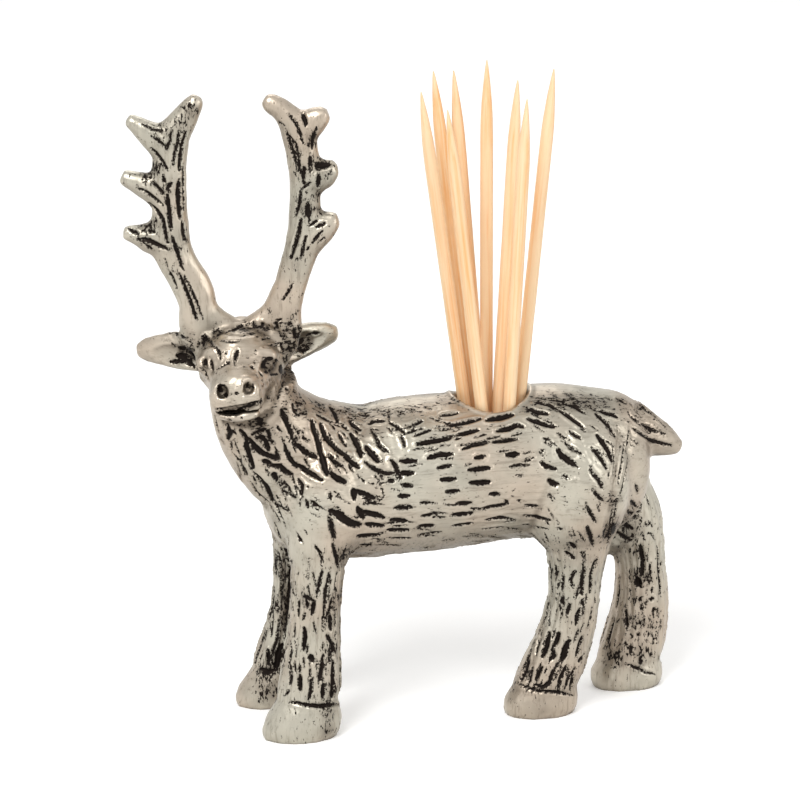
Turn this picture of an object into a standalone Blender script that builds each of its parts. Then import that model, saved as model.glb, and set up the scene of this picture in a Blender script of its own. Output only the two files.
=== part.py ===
"""Toothpick holder: a cast metal stag with a pocket in its back and eight wooden picks.

Metres, +Z up. The stag walks toward -X, its near side faces -Y and it turns its head to look
that way. It is built about its own mid plane, then the soles' plane becomes Z = 0 and the
whole is centred over the origin.
"""

import math

import bmesh
import bpy
from mathutils import Matrix, Vector

# Torso: chest at its -X end, rump at the other
TORSO_START = -0.0210
TORSO_LENGTH = 0.0650
TORSO_DEPTH = 0.0250
TORSO_WIDTH = 0.0236
BACK_HEIGHT = 0.0522

# Legs, measured from the soles up to where they sink into the torso
LEG_HEIGHT = 0.0405
LEG_DEPTH = 0.0124
LEG_WIDTH = 0.0092
SOLE_TRIM = 0.0018

# Neck and tail
NECK_DEPTH = 0.0196
NECK_WIDTH = 0.0176
TAIL_LENGTH = 0.0120
TAIL_DEPTH = 0.0100
TAIL_WIDTH = 0.0072
TAIL_ROOT_SHARE = 0.92

# Head, about the middle of the skull
HEAD_FORWARD = 0.0044
HEAD_SIDE = 0.0030
HEAD_RISE = 0.0092
HEAD_LENGTH = 0.0190
HEAD_WIDTH = 0.0138
HEAD_HEIGHT = 0.0140
FACE_TURN = math.radians(-15)
FACE_PITCH = math.radians(17)
HEAD_ROLL = math.radians(4.5)
EYE_DIAMETER = 0.0030
NOSTRIL_DIAMETER = 0.0018
MOUTH_WIDTH = 0.0076
MOUTH_OPENING = 0.0010
EAR_REACH = 0.0175
EAR_HEIGHT = 0.0066
EAR_THICKNESS = 0.0034
NEAR_EAR_SWEEP = math.radians(34)
FAR_EAR_SWEEP = math.radians(15)
EAR_HOLLOW = 0.0011

# Antler casting, in one plane across the head, above the seat on the crown
RACK_HEIGHT = 0.0366
RACK_HALF_SPREAD = 0.0182
BEAM_WIDTH = 0.0064
BEAM_THICKNESS = 0.0042
CROWN_RISE_SHARE = 0.314
SPIGOT_WIDTH = 0.0052
SPIGOT_THICKNESS = 0.0032
SPIGOT_LENGTH = 0.0045
SPIGOT_ROOT = 0.0009

# Picks, and the pocket that is sized for a bundle of them
PICK_DIAMETER = 0.0021
PICK_LENGTH = 0.0650
PICK_TAPER = 0.0120
CUP_DEPTH = 0.0140
CUP_DISH = 0.0010

# Clearances and the fineness of the cast surfaces
SEAT_GAP = 0.0003
CUT_OVERRUN = 0.0040
BODY_GRAIN = 0.00060
RACK_GRAIN = 0.00045
BODY_FACES_SHARE = 0.080
RACK_FACES_SHARE = 0.110
BLEND_PASSES = 6
RING_STEPS = 3
RING_SIDES = 28
PICK_SIDES = 12
CUP_SIDES = 36

# Finishes: colour, metallic, roughness
CAST_METAL = ((0.60, 0.58, 0.53), 1.0, 0.34)
PICK_WOOD = ((0.84, 0.58, 0.33), 0.0, 0.55)

# Worked out from the driving sizes
TORSO_MID = BACK_HEIGHT - TORSO_DEPTH / 2
PICK_PITCH = PICK_DIAMETER + SEAT_GAP
CUP_PITCHES = 2.54
CUP_RADIUS = CUP_PITCHES * PICK_PITCH
CUP_PLACE_SHARE = 0.557
CUP_X = TORSO_START + CUP_PLACE_SHARE * TORSO_LENGTH
CUP_FLOOR = BACK_HEIGHT - CUP_DEPTH

# Rows: place along the torso, middle above its axis, half depth, half width
TORSO_SHARES = (
    (-0.005, -0.03, 0.19, 0.19),
    (0.033, -0.05, 0.365, 0.35),
    (0.105, -0.05, 0.44, 0.43),
    (0.215, -0.04, 0.475, 0.48),
    (0.323, -0.010, 0.500, 0.50),
    (0.462, 0.003, 0.499, 0.505),
    (0.600, 0.03, 0.49, 0.50),
    (0.723, 0.025, 0.50, 0.50),
    (0.831, -0.005, 0.485, 0.41),
    (0.905, 0.010, 0.42, 0.31),
    (0.937, -0.01, 0.285, 0.25),
    (0.955, -0.01, 0.15, 0.14),
)

# Rows: height up the leg, half depth fore and aft, half width
FRONT_LEG_SHARES = (
    (1.00, 0.52, 0.50),
    (0.83, 0.46, 0.49),
    (0.75, 0.425, 0.455),
    (0.68, 0.345, 0.42),
    (0.54, 0.32, 0.39),
    (0.40, 0.335, 0.39),
    (0.27, 0.385, 0.41),
    (0.185, 0.41, 0.435),
    (0.155, 0.385, 0.41),
    (0.115, 0.45, 0.465),
    (0.05, 0.515, 0.49),
    (0.00, 0.495, 0.475),
)
HIND_LEG_SHARES = (
    (1.00, 0.64, 0.52),
    (0.83, 0.555, 0.53),
    (0.76, 0.505, 0.50),
    (0.68, 0.415, 0.46),
    (0.54, 0.335, 0.40),
    (0.40, 0.36, 0.40),
    (0.26, 0.41, 0.42),
    (0.14, 0.445, 0.45),
    (0.11, 0.42, 0.43),
    (0.08, 0.475, 0.465),
    (0.04, 0.50, 0.48),
    (0.00, 0.475, 0.465),
)

# Rows down each leg: height, place along the torso, place out to the side of its mid plane
LEG_LINES_SHARES = {
    "near_front": ((1.0, 0.146, -0.26), (0.68, 0.105, -0.30), (0.40, 0.093, -0.315),
                   (0.19, 0.078, -0.325), (0.0, 0.054, -0.335)),
    "far_front": ((1.0, 0.131, 0.26), (0.68, 0.104, 0.32), (0.40, 0.095, 0.34),
                  (0.19, 0.067, 0.355), (0.0, 0.033, 0.365)),
    "near_hind": ((1.0, 0.760, -0.25), (0.68, 0.757, -0.27), (0.40, 0.742, -0.26),
                  (0.19, 0.699, -0.25), (0.09, 0.675, -0.245), (0.0, 0.668, -0.24)),
    "far_hind": ((1.0, 0.845, 0.22), (0.83, 0.892, 0.22), (0.68, 0.949, 0.215),
                 (0.40, 0.975, 0.20), (0.19, 0.954, 0.18), (0.09, 0.938, 0.17),
                 (0.0, 0.935, 0.165)),
}

# Haunches and shoulders: along the torso, out to the side, height in leg heights, then half
# sizes along, across and up in torso depths, and the long axis's lean in radians
MUSCLES_SHARES = (
    (0.134, -0.22, 0.93, 0.30, 0.27, 0.42, 0.10),
    (0.130, 0.22, 0.93, 0.29, 0.27, 0.42, 0.10),
    (0.751, -0.27, 0.93, 0.355, 0.265, 0.47, 0.06),
    (0.840, 0.22, 0.84, 0.325, 0.265, 0.50, -0.45),
)

# Rows from the withers to the skull: place forward and up from the torso's front, side, sizes
NECK_SHARES = (
    (0.20, 0.04, 0.00, 0.55, 0.54),
    (0.09, 0.18, 0.00, 0.51, 0.50),
    (0.015, 0.39, 0.15, 0.44, 0.45),
    (-0.025, 0.60, 0.40, 0.375, 0.39),
    (-0.035, 0.79, 0.75, 0.35, 0.36),
    (-0.025, 0.91, 1.00, 0.34, 0.31),
)

# Rows from nape to nose: forward, above the skull's middle, half width, half height
HEAD_SHARES = (
    (-0.35, 0.00, 0.24, 0.24),
    (-0.19, -0.07, 0.43, 0.34),
    (0.00, -0.05, 0.50, 0.41),
    (0.15, -0.03, 0.475, 0.43),
    (0.28, -0.03, 0.385, 0.41),
    (0.40, -0.07, 0.32, 0.335),
    (0.51, -0.09, 0.31, 0.30),
    (0.61, -0.095, 0.30, 0.28),
    (0.66, -0.095, 0.22, 0.20),
)

# What each ear rises over the rows below, at the head's middle line and at its tip
NEAR_EAR_LIFT_SHARES = (0.22, -0.22)
FAR_EAR_LIFT_SHARES = (0.32, 0.09)

# Rows from root to tip: reach, rise, half height, half thickness
EAR_SHARES = (
    (0.28, -0.30, 0.46, 0.50),
    (0.50, -0.24, 0.535, 0.50),
    (0.72, -0.20, 0.47, 0.42),
    (0.88, -0.21, 0.37, 0.34),
    (0.97, -0.22, 0.25, 0.26),
    (1.00, -0.22, 0.16, 0.20),
)

# Places on the head: across, forward and up, in shares of its width, length and height
EYE_SHARES = (0.37, 0.27, 0.12)
NOSTRIL_SHARES = (0.16, 0.645, 0.06)
MOUTH_SHARES = (0, 0.60, -0.215)
MOUTH_DEPTH_SHARE = 1 / 3

# The dish in an ear: its middle along and above the ear, its half length and half height
EAR_HOLLOW_SHARES = (0.60, -0.22, 0.26, 0.34)

# Rows from root to tip: back, up, half depth, half width
TAIL_SHARES = (
    (-0.45, 0.70, 0.42, 0.42),
    (-0.10, 0.60, 0.42, 0.50),
    (0.24, 0.385, 0.345, 0.44),
    (0.51, 0.23, 0.24, 0.30),
    (0.69, 0.13, 0.12, 0.16),
)

# Rows along each beam and tine: across the head, up from the seat, half width
LEFT_BEAM_SHARES = (
    (-0.26, -0.14, 0.40), (-0.345, -0.03, 0.50), (-0.355, 0.09, 0.47), (-0.40, 0.17, 0.49),
    (-0.49, 0.25, 0.47), (-0.57, 0.335, 0.49), (-0.58, 0.42, 0.47), (-0.582, 0.505, 0.435),
    (-0.59, 0.60, 0.45), (-0.575, 0.71, 0.42), (-0.55, 0.81, 0.43), (-0.458, 0.882, 0.34),
    (-0.375, 0.945, 0.26), (-0.33, 0.985, 0.16),
)
LEFT_TINES_SHARES = (
    ((-0.58, 0.39, 0.45), (-0.74, 0.383, 0.43), (-0.87, 0.395, 0.25), (-0.98, 0.403, 0.17)),
    ((-0.58, 0.56, 0.40), (-0.75, 0.597, 0.355), (-0.87, 0.622, 0.265), (-0.985, 0.645, 0.19)),
    ((-0.57, 0.76, 0.42), (-0.72, 0.815, 0.35), (-0.83, 0.857, 0.24), (-0.93, 0.888, 0.16)),
)
RIGHT_BEAM_SHARES = (
    (0.26, -0.14, 0.40), (0.345, -0.03, 0.50), (0.365, 0.09, 0.46), (0.42, 0.165, 0.40),
    (0.462, 0.24, 0.40), (0.52, 0.33, 0.42), (0.555, 0.425, 0.42), (0.557, 0.545, 0.38),
    (0.56, 0.65, 0.39), (0.535, 0.755, 0.40), (0.50, 0.84, 0.42), (0.39, 0.92, 0.29),
    (0.278, 0.956, 0.25), (0.22, 0.974, 0.17),
)
RIGHT_TINES_SHARES = (
    ((0.56, 0.385, 0.50), (0.71, 0.435, 0.38), (0.79, 0.46, 0.26), (0.84, 0.468, 0.17)),
    ((0.57, 0.64, 0.48), (0.71, 0.658, 0.38), (0.79, 0.675, 0.26), (0.84, 0.68, 0.16)),
    ((0.53, 0.84, 0.38), (0.62, 0.876, 0.36), (0.70, 0.902, 0.28), (0.76, 0.915, 0.17)),
)
WEB_SHARES = (
    (-0.42, 0.13, 0.34), (-0.25, 0.04, 0.35), (0.00, -0.02, 0.32), (0.25, 0.04, 0.35),
    (0.42, 0.13, 0.34),
)
PEDICLE_ROWS = 4

# Rings of the pocket's dished floor, out from its middle
CUP_FLOOR_SHARES = (0.04, 0.28, 0.52, 0.76, 1.0)

# Foot and rim places from the pocket's axis, counted in pick pitches, and the length share
PICKS_SHARES = (
    (-0.85, 0.50, -1.815, 0.01, 0.998),
    (-0.39, 1.065, -1.085, 1.15, 1.017),
    (-0.20, -1.155, -1.035, -1.665, 0.960),
    (0.25, 1.78, -0.225, 1.94, 1.002),
    (-0.33, -0.555, -0.195, 0.095, 1.034),
    (0.09, -0.935, 0.435, -0.82, 0.996),
    (0.71, -1.435, 0.91, -1.775, 0.962),
    (1.175, -1.155, 1.89, -0.675, 1.014),
)

# Rows up the pointed end of a pick: height, radius
POINT_SHARES = ((0.00, 0.10), (0.25, 0.40), (0.60, 0.78), (1.00, 1.00))


def clear_scene():
    for thing in list(bpy.data.objects):
        bpy.data.objects.remove(thing, do_unlink=True)


def at_share(rows, place):
    """The columns of a table of rows at a place along its first column, on a smooth curve."""
    rows = sorted(rows)
    last = len(rows) - 1
    index = 0
    while index < last - 1 and place > rows[index + 1][0]:
        index += 1
    before = rows[max(index - 1, 0)]
    start = rows[index]
    end = rows[index + 1]
    after = rows[min(index + 2, last)]
    span = end[0] - start[0]
    share = (place - start[0]) / span
    values = []
    for column in range(1, len(start)):
        slope_in = (end[column] - before[column]) / (end[0] - before[0]) * span
        slope_out = (after[column] - start[column]) / (after[0] - start[0]) * span
        rise = end[column] - start[column]
        bend = 3 * rise - 2 * slope_in - slope_out
        twist = slope_in + slope_out - 2 * rise
        values.append(start[column] + share * (slope_in + share * (bend + share * twist)))
    return values


def refined(rows, steps):
    """Rows along a smooth curve through the given rows, with steps between each two."""
    numbered = [(index, *row) for index, row in enumerate(rows)]
    places = [step / steps for step in range((len(rows) - 1) * steps + 1)]
    return [at_share(numbered, place) for place in places]


def ring(centre, across, upward, half_across, half_up):
    """Points on an oval about a centre, its two half axes along two directions."""
    points = []
    for side in range(RING_SIDES):
        angle = math.tau * side / RING_SIDES
        points.append(centre + across * (half_across * math.cos(angle))
                      + upward * (half_up * math.sin(angle)))
    return points


def skin(mesh, rings):
    """Adds a closed body to a bmesh: quads between rings of points and a cap at each end."""
    loops = [[mesh.verts.new(point) for point in points] for points in rings]
    faces = [mesh.faces.new(loops[0]), mesh.faces.new(loops[-1])]
    for lower, upper in zip(loops, loops[1:]):
        for side in range(len(lower)):
            after = (side + 1) % len(lower)
            faces.append(mesh.faces.new((lower[side], lower[after], upper[after], upper[side])))
    bmesh.ops.recalc_face_normals(mesh, faces=faces)


def path_skin(mesh, stations, side):
    """A body along a path of (centre, half width, half side) rows, ovals square to the path."""
    rings = []
    for index, (centre, half_width, half_side) in enumerate(stations):
        ahead = stations[min(index + 1, len(stations) - 1)][0]
        behind = stations[max(index - 1, 0)][0]
        along = (ahead - behind).normalized()
        width_way = along.cross(side).normalized()
        side_way = width_way.cross(along).normalized()
        rings.append(ring(centre, width_way, side_way, half_width, half_side))
    skin(mesh, rings)


def face_outward(mesh, verts):
    faces = list({face for vert in verts for face in vert.link_faces})
    bmesh.ops.recalc_face_normals(mesh, faces=faces)


def ball(mesh, centre, axes, radii):
    """Adds an ellipsoid with its three radii along three directions."""
    turn = Matrix(axes).transposed().to_4x4()
    place = Matrix.Translation(centre) @ turn @ Matrix.Diagonal((*radii, 1))
    made = bmesh.ops.create_uvsphere(mesh, u_segments=RING_SIDES, v_segments=RING_SIDES // 2,
                                     radius=1, matrix=place)
    face_outward(mesh, made["verts"])


def block(mesh, centre, axes, halves):
    """Adds a box with its half sizes along three directions."""
    turn = Matrix(axes).transposed().to_4x4()
    place = Matrix.Translation(centre) @ turn @ Matrix.Diagonal((*halves, 1))
    made = bmesh.ops.create_cube(mesh, size=2, matrix=place)
    face_outward(mesh, made["verts"])


def new_object(name, mesh):
    data = bpy.data.meshes.new(name)
    mesh.to_mesh(data)
    mesh.free()
    thing = bpy.data.objects.new(name, data)
    bpy.context.scene.collection.objects.link(thing)
    return thing


def new_cutter(name, mesh):
    cutter = new_object(name, mesh)
    cutter.hide_render = True
    cutter.display_type = "WIRE"
    return cutter


def give_material(thing, colour, metallic, roughness):
    material = bpy.data.materials.new(thing.name + "_finish")
    material.use_nodes = True
    shader = material.node_tree.nodes["Principled BSDF"]
    shader.inputs["Base Color"].default_value = (*colour, 1)
    shader.inputs["Metallic"].default_value = metallic
    shader.inputs["Roughness"].default_value = roughness
    thing.data.materials.append(material)


def blend_as_casting(thing, grain, faces_share):
    """Fuses overlapping bodies into one smooth skin of moderate size."""
    remesh = thing.modifiers.new("one_skin", "REMESH")
    remesh.mode = "VOXEL"
    remesh.voxel_size = grain
    remesh.use_smooth_shade = True
    smooth = thing.modifiers.new("blend", "SMOOTH")
    smooth.factor = 0.5
    smooth.iterations = BLEND_PASSES
    decimate = thing.modifiers.new("fewer_faces", "DECIMATE")
    decimate.ratio = faces_share


def boolean(thing, name, cutter, operation):
    modifier = thing.modifiers.new(name, "BOOLEAN")
    modifier.operation = operation
    modifier.solver = "EXACT"
    modifier.object = cutter


def level_axes():
    """Across the turned head toward the stag's left and forward along it, both level."""
    across = Vector((math.cos(FACE_TURN), math.sin(FACE_TURN), 0))
    forward = Vector((math.sin(FACE_TURN), -math.cos(FACE_TURN), 0))
    return across, forward


def head_axes():
    """The head's own directions, pitched and rolled: across, forward along the face and up."""
    across_level, forward_level = level_axes()
    forward = forward_level * math.cos(FACE_PITCH) - Vector((0, 0, math.sin(FACE_PITCH)))
    across = Matrix.Rotation(HEAD_ROLL, 3, forward) @ across_level
    return across, forward, forward.cross(across)


def skull_middle():
    return Vector((TORSO_START - HEAD_FORWARD, -HEAD_SIDE, BACK_HEIGHT + HEAD_RISE))


def crown_seat():
    return skull_middle() + Vector((0, 0, CROWN_RISE_SHARE * HEAD_HEIGHT))


def head_point(across_share, forward_share, up_share):
    """A place about the skull's middle, in shares of the head's width, length and height."""
    across, forward, upward = head_axes()
    return (skull_middle() + across * (across_share * HEAD_WIDTH)
            + forward * (forward_share * HEAD_LENGTH) + upward * (up_share * HEAD_HEIGHT))


def add_torso(mesh):
    rings = []
    for along, middle, half_depth, half_width in refined(TORSO_SHARES, RING_STEPS):
        centre = Vector((TORSO_START + along * TORSO_LENGTH, 0,
                         TORSO_MID + middle * TORSO_DEPTH))
        rings.append(ring(centre, Vector((0, 1, 0)), Vector((0, 0, 1)),
                          half_width * TORSO_WIDTH, half_depth * TORSO_DEPTH))
    skin(mesh, rings)


def add_leg(mesh, line, thickness):
    rings = []
    for height, half_depth, half_width in refined(thickness, RING_STEPS):
        along, side = at_share(line, height)
        drop = SOLE_TRIM if height == 0 else 0
        centre = Vector((TORSO_START + along * TORSO_LENGTH, side * TORSO_WIDTH,
                         height * LEG_HEIGHT - drop))
        rings.append(ring(centre, Vector((1, 0, 0)), Vector((0, 1, 0)),
                          half_depth * LEG_DEPTH, half_width * LEG_WIDTH))
    skin(mesh, rings)


def add_muscle(mesh, along, side, height, half_long, half_wide, half_tall, lean):
    centre = Vector((TORSO_START + along * TORSO_LENGTH, side * TORSO_WIDTH,
                     height * LEG_HEIGHT))
    turn = Matrix.Rotation(lean, 3, "Y")
    radii = (half_long * TORSO_DEPTH, half_wide * TORSO_DEPTH, half_tall * TORSO_DEPTH)
    ball(mesh, centre, (turn.col[0], turn.col[1], turn.col[2]), radii)


def add_neck(mesh):
    middle = skull_middle()
    stations = []
    for along, rise, lean, half_depth, half_width in refined(NECK_SHARES, RING_STEPS):
        centre = Vector((TORSO_START + along * TORSO_LENGTH, lean * middle.y,
                         TORSO_MID + rise * (middle.z - TORSO_MID)))
        stations.append((centre, half_depth * NECK_DEPTH, half_width * NECK_WIDTH))
    path_skin(mesh, stations, Vector((0, 1, 0)))


def add_tail(mesh):
    stations = []
    for back, rise, half_depth, half_width in refined(TAIL_SHARES, RING_STEPS):
        root_x = TORSO_START + TAIL_ROOT_SHARE * TORSO_LENGTH
        centre = Vector((root_x + back * TAIL_LENGTH, 0, TORSO_MID + rise * TAIL_DEPTH))
        stations.append((centre, half_depth * TAIL_DEPTH, half_width * TAIL_WIDTH))
    path_skin(mesh, stations, Vector((0, 1, 0)))


def add_head(mesh):
    across, forward, upward = head_axes()
    rings = []
    for ahead, rise, half_width, half_height in refined(HEAD_SHARES, RING_STEPS):
        rings.append(ring(head_point(0, ahead, rise), across, upward,
                          half_width * HEAD_WIDTH, half_height * HEAD_HEIGHT))
    skin(mesh, rings)


def ear_way(side):
    """The direction in which an ear points: out to its side and swept back."""
    across, forward, _ = head_axes()
    sweep = NEAR_EAR_SWEEP if side > 0 else FAR_EAR_SWEEP
    return across * (side * math.cos(sweep)) - forward * math.sin(sweep)


def ear_point(side, reach, rise):
    """A place on an ear, in shares of its reach and height, with what that ear is lifted."""
    _, _, upward = head_axes()
    root_lift, tip_lift = NEAR_EAR_LIFT_SHARES if side > 0 else FAR_EAR_LIFT_SHARES
    lifted = rise + root_lift + reach * (tip_lift - root_lift)
    return skull_middle() + ear_way(side) * (reach * EAR_REACH) + upward * (lifted * EAR_HEIGHT)


def add_ear(mesh, side):
    _, forward, _ = head_axes()
    stations = []
    for reach, rise, half_height, half_thickness in refined(EAR_SHARES, RING_STEPS):
        stations.append((ear_point(side, reach, rise), half_height * EAR_HEIGHT,
                         half_thickness * EAR_THICKNESS))
    path_skin(mesh, stations, forward)


def round_mark(mesh, side, place, diameter):
    """A ball on one side of the face: an eye, or the cut of a nostril."""
    across_share, forward_share, up_share = place
    radius = diameter / 2
    ball(mesh, head_point(side * across_share, forward_share, up_share), head_axes(),
         (radius, radius, radius))


def add_antler_piece(mesh, rows):
    """A beam or tine: ovals square to its line in the plane of the rack."""
    across, forward = level_axes()
    seat = crown_seat()
    stations = []
    for reach, rise, half_width in refined(rows, RING_STEPS):
        centre = (seat + across * (reach * RACK_HALF_SPREAD)
                  + Vector((0, 0, rise * RACK_HEIGHT)))
        half_thickness = BEAM_THICKNESS / 2 * math.sqrt(2 * half_width)
        stations.append((centre, half_width * BEAM_WIDTH, half_thickness))
    path_skin(mesh, stations, forward)


def spigot_rings(clearance, extra_depth, extra_height):
    """The two end ovals of the spigot, or of its socket when they are given a clearance."""
    across, forward = level_axes()
    seat = crown_seat()
    bottom = seat - Vector((0, 0, SPIGOT_LENGTH + extra_depth))
    top = seat + Vector((0, 0, extra_height))
    half_width = SPIGOT_WIDTH / 2 + clearance
    half_thickness = SPIGOT_THICKNESS / 2 + clearance
    return [ring(place, across, forward, half_width, half_thickness) for place in (bottom, top)]


def build_stag():
    mesh = bmesh.new()
    add_torso(mesh)
    for name, line in LEG_LINES_SHARES.items():
        add_leg(mesh, line, FRONT_LEG_SHARES if "front" in name else HIND_LEG_SHARES)
    for muscle in MUSCLES_SHARES:
        add_muscle(mesh, *muscle)
    add_neck(mesh)
    add_tail(mesh)
    add_head(mesh)
    for side in (-1, 1):
        add_ear(mesh, side)
        round_mark(mesh, side, EYE_SHARES, EYE_DIAMETER)
    add_antler_piece(mesh, LEFT_BEAM_SHARES[:PEDICLE_ROWS])
    add_antler_piece(mesh, RIGHT_BEAM_SHARES[:PEDICLE_ROWS])
    stag = new_object("stag_body", mesh)
    blend_as_casting(stag, BODY_GRAIN, BODY_FACES_SHARE)
    boolean(stag, "flat_soles", sole_cutter(), "DIFFERENCE")
    boolean(stag, "crown_seat", crown_cutter(), "DIFFERENCE")
    boolean(stag, "spigot_socket", socket_cutter(), "DIFFERENCE")
    boolean(stag, "pick_pocket", cup_cutter(), "DIFFERENCE")
    boolean(stag, "face_cuts", face_cutter(), "DIFFERENCE")
    give_material(stag, *CAST_METAL)
    return stag


def sole_cutter():
    mesh = bmesh.new()
    half_height = LEG_HEIGHT / 2
    centre = Vector((TORSO_START + TORSO_LENGTH / 2, 0, -half_height))
    axes = (Vector((1, 0, 0)), Vector((0, 1, 0)), Vector((0, 0, 1)))
    block(mesh, centre, axes, (TORSO_LENGTH, TORSO_LENGTH, half_height))
    return new_cutter("sole_plane_cut", mesh)


def crown_cutter():
    """Clears the crown above the seat, as wide as the antlers' feet and a gap."""
    across, forward = level_axes()
    half_height = RACK_HEIGHT / 2
    centre = crown_seat() + Vector((0, 0, half_height - SEAT_GAP))
    foot_reach_share = max(abs(reach) for reach, _, _ in LEFT_BEAM_SHARES[:PEDICLE_ROWS])
    half_across = foot_reach_share * RACK_HALF_SPREAD + BEAM_WIDTH / 2 + SEAT_GAP
    mesh = bmesh.new()
    block(mesh, centre, (across, forward, Vector((0, 0, 1))),
          (half_across, HEAD_WIDTH, half_height))
    return new_cutter("crown_seat_cut", mesh)


def socket_cutter():
    mesh = bmesh.new()
    skin(mesh, spigot_rings(SEAT_GAP, SEAT_GAP, CUT_OVERRUN))
    return new_cutter("spigot_socket_cut", mesh)


def cup_floor_height(distance):
    return CUP_FLOOR - CUP_DISH + CUP_DISH * (distance / CUP_RADIUS) ** 2


def circle(centre, radius):
    points = []
    for side in range(CUP_SIDES):
        angle = math.tau * side / CUP_SIDES
        points.append(centre + Vector((math.cos(angle), math.sin(angle), 0)) * radius)
    return points


def cup_cutter():
    """The pocket: a straight round bore with a dished floor."""
    mesh = bmesh.new()
    axis = Vector((CUP_X, 0, 0))
    rings = []
    for share in CUP_FLOOR_SHARES:
        radius = share * CUP_RADIUS
        rings.append(circle(axis + Vector((0, 0, cup_floor_height(radius))), radius))
    rings.append(circle(axis + Vector((0, 0, BACK_HEIGHT + CUT_OVERRUN)), CUP_RADIUS))
    skin(mesh, rings)
    return new_cutter("pick_pocket_cut", mesh)


def add_ear_hollow(mesh, side):
    """The dish in the front of an ear."""
    _, forward, upward = head_axes()
    reach_way = ear_way(side)
    front = reach_way.cross(upward).normalized()
    if front.dot(forward) < 0:
        front.negate()
    reach, rise, half_length, half_height = EAR_HOLLOW_SHARES
    centre = ear_point(side, reach, rise) + front * (EAR_THICKNESS / 2)
    ball(mesh, centre, (reach_way, front, upward),
         (half_length * EAR_REACH, EAR_HOLLOW, half_height * EAR_HEIGHT))


def face_cutter():
    """The hollows of the ears, two nostrils and the line of the mouth."""
    mesh = bmesh.new()
    for side in (-1, 1):
        add_ear_hollow(mesh, side)
        round_mark(mesh, side, NOSTRIL_SHARES, NOSTRIL_DIAMETER)
    ball(mesh, head_point(*MOUTH_SHARES), head_axes(),
         (MOUTH_WIDTH / 2, MOUTH_DEPTH_SHARE * MOUTH_WIDTH, MOUTH_OPENING / 2))
    return new_cutter("face_cut", mesh)


def build_rack():
    """Both antlers and the web that joins them, with a spigot below."""
    mesh = bmesh.new()
    add_head(mesh)
    tines = (*LEFT_TINES_SHARES, *RIGHT_TINES_SHARES)
    for rows in (LEFT_BEAM_SHARES, RIGHT_BEAM_SHARES, WEB_SHARES, *tines):
        add_antler_piece(mesh, rows)
    rack = new_object("antler_rack", mesh)
    blend_as_casting(rack, RACK_GRAIN, RACK_FACES_SHARE)
    boolean(rack, "flat_seat", below_seat_cutter(), "DIFFERENCE")
    spigot = bmesh.new()
    skin(spigot, spigot_rings(0, 0, SPIGOT_ROOT))
    boolean(rack, "spigot", new_cutter("spigot_form", spigot), "UNION")
    give_material(rack, *CAST_METAL)
    return rack


def below_seat_cutter():
    mesh = bmesh.new()
    centre = crown_seat() - Vector((0, 0, HEAD_LENGTH))
    axes = (Vector((1, 0, 0)), Vector((0, 1, 0)), Vector((0, 0, 1)))
    block(mesh, centre, axes, (RACK_HALF_SPREAD, RACK_HALF_SPREAD, HEAD_LENGTH))
    return new_cutter("below_seat_cut", mesh)


def pick_profile(length):
    radius = PICK_DIAMETER / 2
    lower = [(height * PICK_TAPER, share * radius) for height, share in POINT_SHARES]
    upper = [(length - height, wide) for height, wide in reversed(lower)]
    return lower + upper


def build_pick(number, foot_x, foot_y, rim_x, rim_y, length_share):
    """A round pick standing in the pocket, its origin at its foot and +Z along it."""
    foot = Vector((foot_x * PICK_PITCH, foot_y * PICK_PITCH, 0))
    foot.z = cup_floor_height(foot.length) + SEAT_GAP
    rim = Vector((rim_x * PICK_PITCH, rim_y * PICK_PITCH, BACK_HEIGHT))
    mesh = bmesh.new()
    rings = []
    for height, radius in pick_profile(length_share * PICK_LENGTH):
        rings.append([Vector((radius * math.cos(math.tau * side / PICK_SIDES),
                              radius * math.sin(math.tau * side / PICK_SIDES), height))
                      for side in range(PICK_SIDES)])
    skin(mesh, rings)
    pick = new_object("toothpick_%d" % number, mesh)
    pick.location = foot + Vector((CUP_X, 0, 0))
    pick.rotation_mode = "QUATERNION"
    pick.rotation_quaternion = (rim - foot).to_track_quat("Z", "Y")
    pick.data.shade_smooth()
    give_material(pick, *PICK_WOOD)
    return pick


def centre_on_base(pieces):
    """Hangs every object on one empty that puts the box's middle over the origin."""
    bpy.context.view_layer.update()
    graph = bpy.context.evaluated_depsgraph_get()
    corners = []
    for piece in pieces:
        solid = piece.evaluated_get(graph)
        corners += [solid.matrix_world @ Vector(corner) for corner in solid.bound_box]
    frame = bpy.data.objects.new("holder_frame", None)
    bpy.context.scene.collection.objects.link(frame)
    for thing in list(bpy.context.scene.collection.objects):
        if thing is not frame:
            thing.parent = frame
    frame.location.x = -(min(c.x for c in corners) + max(c.x for c in corners)) / 2
    frame.location.y = -(min(c.y for c in corners) + max(c.y for c in corners)) / 2


clear_scene()
parts = [build_stag(), build_rack()]
for index, row in enumerate(PICKS_SHARES):
    parts.append(build_pick(index + 1, *row))
centre_on_base(parts)
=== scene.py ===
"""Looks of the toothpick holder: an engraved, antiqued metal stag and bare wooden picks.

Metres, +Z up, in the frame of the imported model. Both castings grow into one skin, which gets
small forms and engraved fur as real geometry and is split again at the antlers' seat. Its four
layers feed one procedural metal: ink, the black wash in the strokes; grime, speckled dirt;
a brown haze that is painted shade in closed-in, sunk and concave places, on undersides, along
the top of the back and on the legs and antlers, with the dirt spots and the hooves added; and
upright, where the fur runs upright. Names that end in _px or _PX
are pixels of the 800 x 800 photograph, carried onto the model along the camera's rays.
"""

import math
import random
from itertools import accumulate

import bmesh
import bpy
import numpy as np
from mathutils import Matrix, Vector, kdtree
from mathutils.bvhtree import BVHTree


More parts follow.
